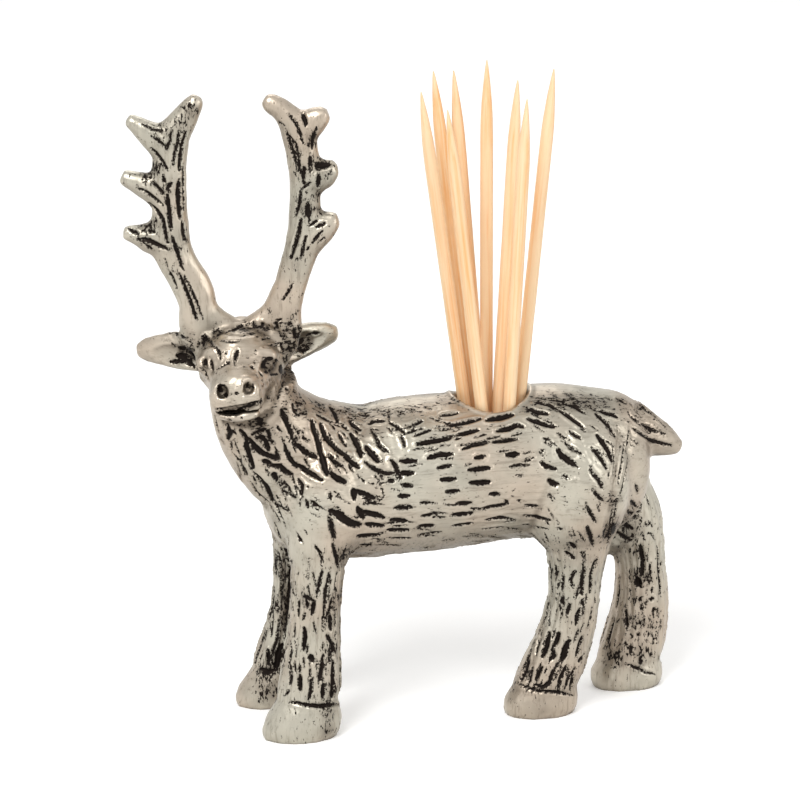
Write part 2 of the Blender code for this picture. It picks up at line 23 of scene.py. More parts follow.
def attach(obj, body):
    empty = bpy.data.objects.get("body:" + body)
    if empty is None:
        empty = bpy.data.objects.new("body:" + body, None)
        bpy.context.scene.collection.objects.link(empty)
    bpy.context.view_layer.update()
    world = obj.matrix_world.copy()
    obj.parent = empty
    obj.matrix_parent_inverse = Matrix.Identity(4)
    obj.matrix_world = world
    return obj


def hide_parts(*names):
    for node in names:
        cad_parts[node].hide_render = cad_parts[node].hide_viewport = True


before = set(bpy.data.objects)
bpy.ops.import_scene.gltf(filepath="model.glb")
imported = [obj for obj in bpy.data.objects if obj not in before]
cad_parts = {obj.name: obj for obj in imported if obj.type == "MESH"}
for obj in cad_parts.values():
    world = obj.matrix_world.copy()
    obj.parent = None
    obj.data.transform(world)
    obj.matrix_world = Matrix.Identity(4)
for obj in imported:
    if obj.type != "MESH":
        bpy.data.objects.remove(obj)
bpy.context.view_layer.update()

MM = 0.001
# Longer than any ray has to reach
FAR = 10.0

# The photograph's camera
PHOTO_SIZE = 800
PIXEL = 0.157 * MM
CAMERA_DISTANCE = 550 * MM
CAMERA_AZIMUTH = math.radians(-13)
CAMERA_ELEVATION = math.radians(15)
CAMERA_TARGET = Vector((-2.122 * MM, -1.522 * MM, 52.5 * MM))
SENSOR = 36.0
CLIP_START = 0.01

# The skin that both castings grow into
CASTINGS = ("stag_body", "antler_rack")
GRAIN = 0.26 * MM
WELD = 0.001 * MM
SOFTENING = 3
SOLE_BAND = 0.25 * MM
SPLIT_DROP = 2 * MM

# Engraving
STROKE_STEP = 0.22 * MM
STROKE_FULLNESS = 1.32
THINNEST_STROKE = 0.19 * MM
COMMON_RADIUS = 0.3 * MM
GROOVE_DEPTH = 0.30 * MM
BORDER_HEIGHT = 0.14 * MM
INK_REACH = 1.2 * MM
CREASE_REACH = 4.0 * MM
DAB_REACH = 2.0 * MM
DAB_EDGE = 1.35
MIRROR_REACH = 2.5 * MM

# Dashes that the photograph doesn't show: radii in millimetres, samples along each
LEG_REACH = 12 * MM
LEG_ROWS = 4
LEG_DASH = (0.20, 0.34)
LEG_SAMPLES = 16
BELLY_START = -12
BELLY_PITCH = 6.4
BELLY_ROW_PITCH = 2.5
BELLY_ROW_SHIFT = 3.0
BELLY_DASH = (0.20, 0.30)
BELLY_SAMPLES = 14

# Relief of the cast surface: heights, and flutes round a leg
RIPPLE = 0.055 * MM
LEG_RIPPLE_SHARE = 1.6
FLUTES = 18
SLOW_WAVE = 0.018
QUICK_WAVE = 0.012

# How closed in a place is: rays turned by the golden angle
SHADE_REACH = 9 * MM
SHADE_RAYS = 7
SHADE_START = 0.3 * MM
SHADE_TURN = 2.399963

# How much each cause adds to the speckled grime, and to the brown haze of painted shade and dirt
GRIME_CAUSES = {"dirt": 1, "hollow": 0.30, "shade": 0.45, "leg": 0.32, "beam": 0.30}
PAINTED_SHADE_AND_DIRT_CAUSES = {"dirt": 0.60, "dip": 0.35, "shade": 1.25, "sunk": 0.85, "under": 0.60,
                  "back": 0.30, "leg": 0.14, "beam": 0.20, "hoof": 0.16}

# Head and pocket, as the model has them
SKULL = Vector((-27.52 * MM, -1.92 * MM, 61.4 * MM))
FACE_TURN = math.radians(-15)
FACE_WAY = Vector((math.sin(FACE_TURN), -math.cos(FACE_TURN), 0))
SEAT_HEIGHT = 65.796 * MM
PLUG_RADII = (3.6 * MM, 2.8 * MM, 3.2 * MM)
PLUG_DROP = 2.2 * MM
POCKET_AXIS = Vector((13.083 * MM, 1.078 * MM, 0))
POCKET_RADIUS = 6.096 * MM
POCKET_LIP = 0.42 * MM
LIP_STEPS = 48
LIP_SIDES = 10
ABOVE_BACK = 56 * MM
MID_PLANE_Y = 1.078 * MM
# Each plane that a side is mirrored at: a place on it and its normal
BODY_PLANE = (Vector((0, MID_PLANE_Y, 0)), Vector((0, 1, 0)))
HEAD_PLANE = (SKULL, FACE_WAY)
# The head and antlers fill the photograph's corner above and left of these
HEAD_FOOT_PX = 400
HEAD_SIDE_PX = 345


def camera_axes():
    """The camera's right, up and backward directions."""
    backward = Vector((math.sin(CAMERA_AZIMUTH) * math.cos(CAMERA_ELEVATION),
                       -math.cos(CAMERA_AZIMUTH) * math.cos(CAMERA_ELEVATION),
                       math.sin(CAMERA_ELEVATION)))
    right = Vector((math.cos(CAMERA_AZIMUTH), math.sin(CAMERA_AZIMUTH), 0))
    return right, backward.cross(right), backward


RIGHT, UP, BACKWARD = camera_axes()
EYE = CAMERA_TARGET + BACKWARD * CAMERA_DISTANCE


def pixel_ray(x_px, y_px):
    """From the photograph's camera through a pixel: a direction."""
    aim = (CAMERA_TARGET + RIGHT * ((x_px - PHOTO_SIZE / 2) * PIXEL)
           + UP * ((PHOTO_SIZE / 2 - y_px) * PIXEL))
    return (aim - EYE).normalized()


def tree_of(data):
    return BVHTree.FromPolygons([v.co for v in data.vertices],
                                [p.vertices for p in data.polygons])


def seen_at(tree, x_px, y_px):
    """The place on the surface that a pixel of the photograph shows, or None."""
    return tree.ray_cast(EYE, pixel_ray(x_px, y_px))[0]


# Engraved strokes: width, first pixel, then the steps from point to point
NECK_STROKES_PX = (
    (4.5, 285, 446, 1, 4, 3, 7, 5, 7, 9, 4, 9, 6, 10, 6), (5, 293, 443, 6, 3, 6, 6, 10, 5),
    (5, 312, 421, 2, 9, 3, 7, 2, 9, 2, 10), (5.5, 320, 450, 2, 8, 2, 7, 3, 9),
    (5, 321, 424, 2, 6, 3, 8, 5, 6, 7, 6), (5.5, 333, 446, 10, 8, 7, 6, 8, 7),
    (4.5, 329, 455, 5, 6, 7, 5), (5.5, 331, 473, 6, 5, 8, 4), (3, 338, 433, 4, 7, 4, 6),
    (5, 351, 434, 4, 6, 3, 7, 3, 9), (5, 350, 421, 4, 5, 6, 4), (5.5, 366, 447, 5, 6, 7, 8),
    (3.8, 365, 462, 5, 4, 6, 4, 8, 3, 10, 0), (3, 349, 465, 4, 6), (4.5, 280, 468, 5, 4, 6, 2),
    (3.6, 298, 479, 4, 6, -1, 12), (2.2, 300, 501, 0, 5), (3, 307.6, 487, 0.8, 0),
    (3, 306, 460, 1, 2), (2.8, 284, 482, 6, 7), (3.2, 283, 491, 5, 3), (3, 289, 495, 7, 2),
    (3.4, 330, 493, 1, 6), (3.2, 306, 500, 2, 7), (3.4, 311, 501, 8, 6),
    (7.5, 331, 511, 7, 3, 7, 5, 7, 4, 7, 2), (5, 329, 516, 3, 12, 3, 13), (5, 353, 490, 2, 9),
    (4, 354, 490, 8, 3, 6, 3, 6, 3), (3, 363, 498, 6, 2), (2.4, 369, 503, 12, 1),
    (5.5, 358, 508, 3, 6, 2, 4), (4.5, 362, 511, 9, 3, 13, 4), (4, 369, 424, 6, -3, 9, 0),
    (3, 371, 430, 4, 6, 4, 9, 9, 7), (3.6, 390, 423, 6, 3, 5, 4, 4, 3), (3, 400, 435, 3, 5, 2, 7),
    (2.2, 389, 410, 0, 11), (4.2, 391, 460, 4, 5, 2, 5, 4, 8), (4, 360, 415, 8, 1),
    (4, 330, 407, 5, 7, 3, 8), (2.8, 317, 415, 6, 3, 7, 4), (3, 343, 426, 5, 4),
    (2.6, 292, 404, 2, 7, 5, 5), (2.6, 302, 414, 4, -2), (2.4, 297, 403, 6, 1),
    (5, 282, 410, 3, 8, 4, 9, 2, 7), (3.4, 291, 436, 4, 6), (2.4, 297, 429, 2, 1),
    (3.2, 301, 431, 2, 1), (3.2, 296, 437, 2, 0), (3.4, 303, 438, 3, 1), (3, 308, 440, 2, 0),
    (4, 389, 480, 5, 1), (2, 380, 478, 4, 1), (2, 379, 481, 3, 9, 3, 7),
    (3.2, 215, 416, 2, 9, 2, 6), (5, 226, 424, 4, 9, -3, 6), (2.4, 220, 438, 4, 5),
    (2.8, 229, 419, 2, 2), (2.2, 234, 422, 2, 1), (2.8, 241, 423, 2, 1), (2.6, 231, 430, 5, 4),
    (2.6, 231, 441, 1, 8), (2.2, 234, 440, 2, 6, 3, 6), (2.8, 233, 453, 4, 5, 5, 6),
    (4, 240, 430, 4, 5, 4, 5), (5.5, 246, 440, 1, 10, 2, 7, 4, 10),
    (5.5, 249, 439, 6, 8, 6, 5, 7, 3, 8, 4), (6, 264, 461, 6, 3), (3, 250, 428, 8, -2),
    (3.4, 252, 434, 6, -2, 6, -3, 5, 2), (4.4, 256, 438, 6, -1, 4, 5, 3, 8),
    (3.4, 268, 430, 2, 10), (3.6, 270, 440, 4, 3), (2.4, 275, 434, 2, 0), (3.8, 276, 452, 3, 8),
    (5, 272, 466, 8, 0, 5, 5, 7, 4), (6, 274, 474, 3, 6), (3.6, 243, 466, 4, 8),
    (3, 253, 472, 7, 6, 6, 7), (5, 262, 481, 5, 6, 3, 7, 2, 7), (2.6, 253, 476, 3, 8),
    (3, 251, 482, 6, 10, 7, 6, 6, 5), (2.6, 263, 503, 3, 5), (2.4, 273, 498, 5, 7, 5, 3, 7, 5),
    (3.4, 274, 502, 4, 7, 4, 9), (3.2, 275, 512, 5, 9), (3, 275, 523, 6, 15), (3, 298, 535, 5, 8),
    (2, 305, 530, 2, 4), (3, 315, 545, 5, 8, 3, 9), (4.5, 333, 544, 4, 12, 1, 10),
    (3, 278, 550, 2, 15), (3, 284, 548, 5, 14), (3, 308, 559, 2, 0), (2.6, 265, 411, 8, 2),
)
FLANK_STROKES_PX = (
    (4.5, 401, 461, 15, 0), (4.5, 401, 473, 12, 0), (4, 402, 485, 10, 1), (4, 399, 496, 10, 0),
    (4, 395, 508, 16, 0), (4.5, 391, 520, 16, 1), (4.5, 388, 530, 20, 0), (2.5, 392, 538, 18, 0),
    (2, 375, 544, 25, 1), (4.5, 357, 491, 17, 7), (3, 366, 502, 13, 2), (5, 363, 512, 18, 4),
    (4.5, 366, 524, 17, 2), (4.5, 358, 536, 21, -1), (4, 360, 545, 10, 0), (3.5, 413, 425, 9, -4),
    (3, 414, 436, 17, -6), (5, 418, 444, 15, -3, 17, -3), (4.5, 428, 458, 10, -3, 14, -1),
    (3.5, 438, 468, 13, -3), (4, 441, 480, 15, -1), (4, 446, 492, 13, -1), (3, 420, 503, 9, 0),
    (3.5, 422, 516, 15, -2), (4.5, 420, 526, 14, 0), (3, 418, 535, 19, -3), (2.5, 425, 547, 8, -1),
    (3.5, 441, 416, 17, -3), (4, 450, 426, 13, -3, 17, -4), (4, 458, 435, 20, -5),
    (3.5, 463, 449, 10, -4, 14, -2), (4, 475, 458, 10, -2), (4.5, 469, 470, 20, -2),
    (4.5, 470, 483, 20, -1), (4, 490, 494, 9, 0), (4, 456, 504, 15, -1), (4.5, 453, 515, 19, -2),
    (3.5, 452, 526, 20, -3), (5, 487, 420, 13, -2, 12, -3), (4.5, 497, 431, 11, -2, 9, -4, 6, 2),
    (3.5, 493, 442, 24, -3), (5, 507, 455, 11, -1), (3, 510, 467, 7, -2, 12, 0),
    (2.5, 515, 476, 8, -1), (3.5, 483, 508, 14, -2, 10, -2), (3, 505, 500, 3, 3),
    (3, 518, 500, 3, 2), (3, 485, 520, 15, -3, 15, 3), (2, 482, 529, 18, -2, 18, 2),
)
RUMP_STROKES_PX = (
    (4.5, 529, 409, 8, 3, 11, 2), (4.5, 528, 419, 12, 4, 13, 4), (3.5, 535, 402, 13, 3, 10, 4),
    (2.5, 540, 399, 20, 2, 17, -2), (4, 559, 410, 9, 6, 8, 6, 8, 6), (4, 563, 403, 12, 4, 9, 6),
    (3, 544, 438, 6, 2), (2.5, 541, 450, 4, 1), (4, 541, 462, 7, 5, 8, 2),
    (4, 565, 443, 5, 5, 11, 6, 2, 3), (3.5, 570, 432, 10, 7), (6, 558, 450, 4, 6, 8, 6, 8, 5),
    (4, 563, 475, 7, 4), (5, 549, 480, 4, 4, 5, 0), (4.5, 596, 414, 6, 6, 7, 7, 6, 9),
    (4, 601, 411, 10, 3, 6, 3), (2.5, 618, 428, 4, 9), (5, 597, 435, 5, 7, 6, 8, 4, 11),
    (4, 591, 448, 6, 6, 5, 7, 4, 7), (4.5, 589, 465, 2, 7, 7, 8, 4, 8), (4, 590, 485, 4, 7, 8, 8),
    (3.5, 585, 501, 3, 8, 8, 13), (4, 587, 527, 3, 8, 3, 10), (2, 609, 472, -1, 6),
    (3.5, 524, 515, 11, 2, 15, 3), (3, 525, 505, 10, 1, 7, 4), (2, 533, 526, 15, 3),
    (3, 557, 528, 4, 1), (4, 570, 543, 6, 5), (3.5, 566, 552, 8, 6), (3.5, 617, 399, 9, 5),
    (3, 640, 405, 8, 8), (2.5, 606, 398, 6, 2), (2, 580, 398, 15, 1),
)
TAIL_STROKES_PX = (
    (3.5, 633, 428, 8, 6, 9, 6, 10, 3, 11, 2), (3.5, 641, 424, 9, 5, 7, 3), (2.5, 660, 433, 5, 1),
    (3, 650, 413, 6, 7), (3, 628, 412, 6, 6, 4, 4), (2, 617, 425, 4, 20, -4, 20, -4, 20),
    (2, 613, 485, -3, 20, -2, 25), (1.5, 629, 430, -3, 22), (2.4, 614, 500, -3, 20, -3, 21),
    (2.4, 624, 442, -2, 20, -4, 22), (2, 612, 445, 3, 17, -2, 16), (2, 628, 455, -3, 20, -5, 20),
    (2.2, 617, 500, -4, 25), (2.4, 641, 404, 8, 9, 7, 7, 9, 7), (2.4, 630, 404, 6, 7, 4, 6),
)
LEG_STROKES_PX = (
    (3.5, 322, 571, -2, 9, -3, 13), (4, 305, 596, 7, 4), (3, 306, 600, 1, 7),
    (2.5, 299, 600, -1, 17), (4, 314, 601, -2, 13), (2.5, 305, 613, -2, 7),
    (4, 304, 628, 1, 10, -2, 12), (2.5, 292, 643, -1, 17), (5, 310, 656, 3, 5),
    (2.5, 291, 665, 0, 7), (2.5, 300, 665, -1, 8), (4, 300, 675, 0, 15), (2.5, 292, 673, -2, 13),
    (3, 289, 690, -4, 5), (4, 323, 655, -1, 13, -2, 12), (3.5, 311, 680, 0, 10, -2, 10),
    (4.5, 323, 685, 0, 13), (4, 330, 615, 1, 15), (3, 332, 598, -2, 12, -5, 8),
    (3, 329, 572, -3, 18, -2, 20), (2, 337, 572, -3, 18), (4, 327, 635, 6, 10, 0, 10),
    (5, 333, 662, 0, 18, -1, 17), (2, 308, 572, 0, 8), (3.5, 281, 548, 3, 17, -3, 25, 0, 22),
    (4, 286, 548, 6, 14, -5, 38, -3, 40), (2.5, 277, 552, -1, 23), (2, 274, 605, -1, 20),
    (3.5, 279, 618, -2, 22, -7, 20), (7, 281, 645, -4, 10, -1, 13), (4, 268, 650, 0, 15),
    (2, 262, 654, -3, 8), (3.5, 595, 561, -4, 12, -1, 19), (4, 584, 569, -2, 11, 0, 14),
    (3.5, 574, 571, -3, 9, 2, 8), (3, 564, 575, -2, 15), (2.5, 556, 565, 0, 15),
    (3.5, 582, 600, 1, 5), (3.5, 580, 609, -3, 6, -1, 10), (2.5, 592, 607, -2, 11, -3, 10),
    (4, 570, 604, -3, 10), (3, 562, 597, -1, 6), (2, 550, 610, -1, 15),
    (4.5, 549, 633, -2, 12, -5, 12), (4, 559, 633, -3, 9, -3, 6), (4, 552, 650, 2, 5, -4, 5),
    (5.5, 569, 641, -4, 9, -3, 11), (4, 582, 637, -3, 8, -3, 12), (3, 539, 640, -3, 15),
    (4.5, 582, 657, -3, 4), (4, 529, 660, -4, 12, -4, 8), (3, 533, 667, -4, 16),
    (3.5, 542, 667, -3, 5, -3, 8), (4, 553, 671, -4, 12, -5, 4, -9, -2),
    (4, 566, 666, -5, 11, -3, 11), (3.5, 575, 668, -7, 12, -3, 8), (3.5, 573, 676, -3, 13),
    (3, 635, 484, 3, 8), (3.5, 630, 500, 7, 7), (4, 626, 510, 11, 8), (3, 640, 520, 1, 2),
    (4, 622, 522, 10, 7), (4, 616, 532, 14, 8), (4, 640, 545, 3, 15, -1, 15), (4, 636, 577, 5, 10),
    (3, 650, 563, 1, 17), (3, 658, 550, 0, 15, 2, 25), (3.5, 652, 588, 0, 4), (4, 650, 599, 3, 0),
    (3, 626, 610, 1, 18), (3, 639, 633, -1, 3), (3.5, 640, 657, 1, 7), (3, 651, 653, 0, 4),
    (2.5, 643, 618, 1, 8),
)
RACK_STROKES_PX = (
    (3, 152, 136, 6, 4, 9, 9), (2.5, 143, 124, 9, 5, 9, 2), (3, 151, 148, 5, 4, 7, 10, 5, 8),
    (2.5, 171, 130, -1, 10, -3, 10), (3, 179, 131, -1, 11, -3, 10, -2, 14),
    (3.5, 186, 132, -4, 13, -2, 13, -1, 12), (4, 179, 180, -1, 15, 2, 23),
    (2, 183, 163, 0, 17, 1, 30), (3, 182, 222, 2, 18), (3.5, 153, 182, 5, 6, 6, 6),
    (3, 137, 188, 8, 3, 10, 7, 8, 7), (3, 163, 175, 2, 9), (3.5, 167, 189, 4, -6),
    (4, 167, 195, 2, 15, 2, 20), (3.5, 150, 203, 7, 7, 6, 10, 2, 12, 3, 11),
    (4, 138, 239, 10, 1, 10, 5, 10, 4), (2.5, 140, 241, 8, 5, 6, 4), (3.5, 130, 229, 8, 5),
    (3, 149, 231, 6, 1), (3.5, 172, 236, 3, 9, 4, 12, 4, 13), (1.8, 165, 258, 2, 9),
    (2.5, 169, 270, 4, 8, 4, 10), (3.5, 179, 273, 5, 12, 6, 15, 7, 20),
    (2.5, 184, 275, 6, 12, 6, 13, 7, 19), (3, 289, 114, 6, 8, 4, 8, 4, 13), (4, 303, 114, 3, 11),
    (3, 286, 130, 4, 12, 4, 13, 5, 17), (3, 290, 136, 6, 9, 2, 10, 2, 13), (3.5, 304, 167, -1, 13),
    (3, 310, 154, 0, 18), (3, 313, 135, -1, 13), (2.5, 317, 127, -3, 8), (6, 317, 166, 12, -2),
    (4, 319, 175, -1, 11), (2.5, 302, 181, 4, 3), (3, 304, 188, 7, -6),
    (3, 301, 190, -2, 15, -4, 12), (4, 308, 203, -1, 13), (3.5, 301, 219, -2, 13, -4, 13, -4, 13),
    (3, 306, 236, -3, 12, -2, 10), (2.5, 309, 226, 9, -6), (3.5, 317, 227, 8, -4),
    (3, 322, 231, -10, 12), (2, 325, 237, -7, 6), (2.5, 309, 247, -3, 4),
    (2.5, 293, 283, -5, 9, -5, 8), (2.5, 310, 205, -1, 18), (2, 279, 122, 6, 4),
)
HEAD_STROKES_PX = (
    (3.2, 237.5, 350, -2.5, 10), (1.6, 235, 360, 0.5, 6), (3, 211, 346, 5, 2, 3.5, 5, 0.5, 6),
    (1.6, 216, 370, 6, -3, 7, -5), (2.6, 215.5, 372, 1.5, 0.5), (2.8, 227, 362, 2, 2),
    (2.4, 200, 367, 5, 5, 4, 7), (2.4, 200, 376, 3, 4), (3, 263, 349, 8, 0.5), (2, 255, 351, 1, 0),
    (2.2, 244, 367, 1, 0), (3.4, 251, 367, 3, 1), (1.8, 254, 361, 1, 3), (2.2, 256, 374, 2, 4),
    (3, 235, 393.5, 3, 0), (3, 234.5, 400, 1, 0.5), (1.6, 231.5, 394, 1, 0), (2, 243, 397, 2, 2),
    (3.6, 261, 400, 1, 4), (2, 262, 379, 0, 9), (2, 269, 380, 0, 8), (2, 273, 381, 4, 11),
    (3, 267, 396, 2, 3), (3.2, 217, 409, 7, 0.5, 8, -1),
    (4.2, 230, 409, 10, -2, 10, -2.5, 9, -2.5), (3.6, 220, 412, 12, 1, 10, -3.5, 10, -3.5),
    (2.6, 233, 415, 7, -2.5, 8, -2), (2.6, 259, 372, 3, 4), (2.2, 268, 345, 8, 1),
    (2.2, 224, 352, 3, 2), (2, 204, 349, 5, -1), (2.4, 221, 341, 11, 1, 8, -1),
    (2.4, 262, 340, 4, -2, 4, 0.5), (2.8, 257, 337, 2, 0), (3, 275, 322, 3, 7),
    (2.6, 276, 321, 6, -2), (3.4, 261, 325, 3, -1), (3, 246, 325, 2, -1), (3, 253, 322, 2, 3),
    (4, 203, 340, 4, -2), (4, 198, 346, 1, -2), (2.4, 201, 349, 2, 0), (2.4, 198, 338, 1, 2),
    (3, 209, 341, 4, 5), (2.6, 213, 333, 3, 0), (3, 219, 333, 3, -2),
    (4.5, 227, 331, 6, -1, 6, -4), (3.4, 240, 325, 3, 1), (5, 299, 342, 6, -3, 6, -4),
    (3.6, 308, 337, 5, -4, 5, 0), (3.4, 294, 347, 6, 2, 4, 4), (3, 312, 321, 4, 0),
    (4, 294, 329, 2, 9), (3, 298, 326, 3, 7), (3, 283, 333, 3, 7), (2.4, 289, 322, 4, 5),
    (3, 281, 343, 2, 7), (2.6, 288, 345, 3, 7), (2.4, 286, 356, 2, 8), (2.2, 291, 367, 2, 5),
    (2.6, 283, 375, 1, 5), (2.2, 291, 380, 3, 4), (2.8, 285, 388, 3, 2), (2.4, 293, 391, 3, 2),
    (7, 181, 348, 6, 5, 7, 5), (6, 178, 356, 8, 1), (4, 171, 362, 10, -1, 9, -1),
    (4, 186, 362, 6, 3, 5, 4), (3.4, 160, 332, 6, 0.5, 6, 0.5), (3.4, 175, 332, 5, 3, 5, 3),
    (2.4, 172, 343, 3, 3),
)
HOOF_STROKES_PX = (
    (3.5, 290, 702, 8, 1, 8, 2, 14, 1, 18, -2), (3, 259, 668, 9, 3, 9, -1),
    (3.2, 518, 683, 10, 5, 10, 3, 20, 1, 15, 3), (2.8, 628, 665, 12, 4, 5, 3, 10, 2),
)
# Thin fur marks: box in pixels, heading in degrees, length, how many
FUR_PX = (
    (250, 428, 300, 500, 62, 13, 22), (300, 425, 345, 470, 58, 12, 18),
    (345, 430, 400, 480, 48, 12, 16), (300, 490, 350, 520, 30, 10, 9),
    (355, 480, 400, 545, 5, 12, 14), (322, 408, 455, 430, 14, 12, 22),
    (405, 425, 535, 470, -8, 13, 30), (400, 500, 530, 545, 2, 15, 26),
    (530, 405, 612, 445, 34, 13, 24), (540, 445, 612, 500, 52, 12, 18),
    (540, 500, 608, 560, 62, 11, 16), (290, 560, 336, 700, 88, 14, 44),
    (262, 548, 292, 665, 97, 14, 30), (545, 560, 600, 625, 95, 12, 26),
    (524, 625, 585, 690, 108, 12, 32), (620, 490, 655, 560, 65, 11, 9),
    (640, 560, 662, 665, 93, 8, 14), (620, 406, 668, 445, 38, 11, 12),
    (215, 425, 262, 480, 70, 11, 16), (262, 480, 300, 560, 66, 12, 16),
)
# Broad creases between the forms: width, depth in millimetres, first pixel, then steps
CREASES_PX = (
    (5, 0.3, 620, 432, -2, 23, -2, 20, -3, 20, -4, 20, -3, 20),
    (4, 0.2, 640, 402, -6, 10, -3, 12, 2, 12, -6, 16), (5, 0.35, 283, 555, 1, 35, -1, 30, -4, 25),
    (6, 0.45, 222, 421, 18, 3, 18, -2, 14, -10), (5, 0.3, 276, 404, 6, -14, 4, -14),
    (5, 0.28, 329, 516, 4, 19, 8, 21, 4, 12), (4, 0.25, 258, 420, 10, 8, 13, -12),
    (4, 0.22, 550, 480, -10, 25, -8, 23),
    (3.5, 0.25, 206, 340, 16, -7, 18, -5, 18, -2, 18, 4, 12, 12),
)
# Sculpted forms and hollows: pixel, half width, half height, tilt in degrees, and height
# or depth in millimetres
FORMS_PX = (
    (211, 351, 8, 3.4, -18, 0.3), (208, 364, 3.6, 5.5, -10, 0.28), (214.5, 365, 1.8, 8, -14, 0.18),
    (268, 352, 12, 3.4, 8, 0.36), (259, 363, 2.8, 7, 14, 0.26), (272, 367.5, 3.8, 4, 0, 0.3),
    (237, 374, 14, 8, 0, 0.22), (215.5, 391, 2.8, 8, 8, 0.22), (222, 401, 8, 2.6, 8, 0.18),
    (249, 378, 7, 2.6, -10, 0.24), (241, 386, 2.6, 8, 8, 0.2), (250, 396, 8, 2.6, -8, 0.22),
    (257.5, 387, 2.6, 8, -6, 0.2), (237, 400, 15, 5, -4, 0.24), (247, 416, 13, 3.2, -12, 0.5),
    (265, 384, 4, 5, 0, 0.2), (273, 387, 4, 6, -10, 0.18), (221, 417, 6, 3, 10, 0.2),
    (580, 475, 26, 40, -10, 0.3), (300, 560, 14, 30, 0, 0.15), (652, 422, 14, 8, 35, 0.25),
)
HOLLOWS_PX = (
    (223, 391, 5.6, 7, -20, 0.62), (249, 386.5, 5.2, 5.6, 20, 0.45), (205, 363, 2.6, 6, -8, 0.4),
    (208, 364, 8, 9, -8, 0.22), (211.5, 366, 1.8, 7, -14, 0.4), (271, 366, 10, 8.5, 5, 0.55),
    (239, 408, 20, 3, -8, 0.55), (265, 384, 1.8, 3, 0, 0.18), (188, 353, 9, 7, 10, 0.6),
    (304, 341, 10, 9, -25, 0.5), (607, 655, 7, 9, 0, 0.15),
)
# Places that the wash fills: pixel, half width, half height, tilt
POOLS_PX = (
    (220, 389, 2.6, 5.5, -30), (226, 395, 2.6, 3.4, -20), (222, 385, 4, 1.4, 10),
    (205.5, 362, 1.8, 4.6, -6), (212, 365, 1.5, 6.5, -14), (263.5, 364, 2.6, 5.5, 18),
    (269, 358.5, 5.5, 2.4, -8), (277.5, 361, 3.4, 2.6, 30), (280.5, 369, 2.2, 5.5, 0),
    (274, 374.5, 5, 1.8, -8), (266, 372, 2.4, 1.8, 30), (247, 385, 1.4, 4, 18),
    (253, 386, 1.2, 3.4, -10), (188, 352, 6.5, 5, 20), (192, 361, 4, 3, 30),
    (300, 341, 4.5, 3, -40), (267, 672, 7, 3.4, 0), (279, 655, 3, 7, 8), (638, 582, 5, 6, 10),
    (613, 528, 3, 8, 0), (247, 406, 9, 1.8, -14),
)
# Spots of grime: pixel, radius in tenths of a millimetre, strength in tenths
GRIME_PX = (
    (205, 342, 16, 10), (218, 334, 18, 7), (233, 331, 16, 11), (245, 331, 18, 12),
    (238, 337, 18, 8), (262, 326, 18, 8), (278, 326, 16, 9), (288, 330, 20, 10),
    (298, 335, 24, 11), (290, 346, 24, 11), (302, 350, 18, 10), (284, 358, 18, 8),
    (290, 372, 22, 8), (288, 386, 22, 8), (296, 398, 24, 9), (272, 400, 18, 7), (268, 390, 18, 6),
    (282, 376, 18, 9), (214, 340, 16, 8), (252, 326, 16, 10), (284, 412, 22, 8), (301, 410, 22, 9),
    (318, 406, 22, 8), (187, 350, 22, 11), (172, 333, 16, 6), (188, 338, 14, 8), (196, 366, 15, 8),
    (259, 428, 22, 8), (262, 436, 18, 8), (336, 412, 24, 8), (350, 411, 24, 8), (364, 412, 26, 8),
    (380, 412, 26, 8), (396, 411, 26, 7), (412, 409, 26, 7), (428, 405, 24, 7), (444, 402, 22, 8),
    (456, 400, 16, 8), (540, 400, 22, 9), (556, 401, 26, 10), (572, 401, 26, 10),
    (588, 402, 26, 9), (604, 404, 24, 8), (622, 404, 22, 7), (642, 409, 20, 7), (652, 417, 18, 7),
    (375, 435, 24, 5), (360, 440, 22, 5), (385, 458, 22, 4), (616, 470, 12, 6), (613, 500, 18, 9),
    (612, 528, 24, 11), (628, 515, 20, 5), (632, 532, 22, 7), (637, 552, 18, 7), (638, 575, 19, 8),
    (634, 598, 17, 6), (630, 618, 17, 6), (627, 640, 18, 5), (614, 655, 22, 9), (640, 650, 24, 7),
    (650, 625, 22, 5.5), (636, 668, 18, 6), (328, 712, 20, 10), (328, 728, 16, 10),
    (333, 690, 18, 7), (266, 676, 20, 11), (266, 690, 22, 10), (278, 655, 16, 10),
    (515, 684, 16, 8), (540, 700, 30, 3), (304, 597, 16, 5), (345, 555, 18, 8), (275, 520, 18, 5),
    (281, 570, 20, 8), (281, 610, 20, 8), (560, 600, 24, 4), (332, 650, 16, 7), (335, 600, 20, 6),
    (530, 545, 24, 3), (480, 400, 16, 5), (525, 408, 14, 7), (190, 110, 16, 9), (181, 122, 16, 5),
    (163, 130, 16, 6), (150, 122, 14, 4), (147, 174, 17, 9), (156, 168, 12, 10),
    (146, 228, 16, 10), (154, 224, 12, 8), (168, 190, 14, 4), (186, 240, 16, 5),
    (322, 165, 14, 12), (313, 164, 12, 6), (320, 210, 12, 9), (313, 140, 15, 7), (318, 198, 14, 8),
    (307, 208, 16, 9), (304, 172, 14, 5), (285, 160, 12, 4), (295, 262, 16, 4), (272, 314, 16, 7),
    (292, 318, 18, 9), (250, 324, 16, 8), (184, 330, 14, 7),
)
# Middle lines of the legs, in millimetres from top to bottom
LEG_LINES = {
    "near_front": (
        (-13.8, -5.4, 34.0), (-16.5, -6.2, 27.5), (-17.2, -6.4, 16.2), (-18.2, -6.6, 7.2)),
    "far_front": (
        (-15.0, 7.6, 34.0), (-16.5, 8.6, 27.5), (-17.0, 9.1, 16.2), (-18.8, 9.4, 6.5)),
    "near_hind": (
        (26.4, -5.2, 34.0), (26.2, -5.3, 27.5), (25.2, -5.1, 16.2), (22.6, -4.9, 5.6)),
    "far_hind": (
        (36.5, 6.2, 34.0), (38.2, 6.1, 27.5), (40.0, 5.8, 16.2), (39.2, 5.3, 5.6)),
}
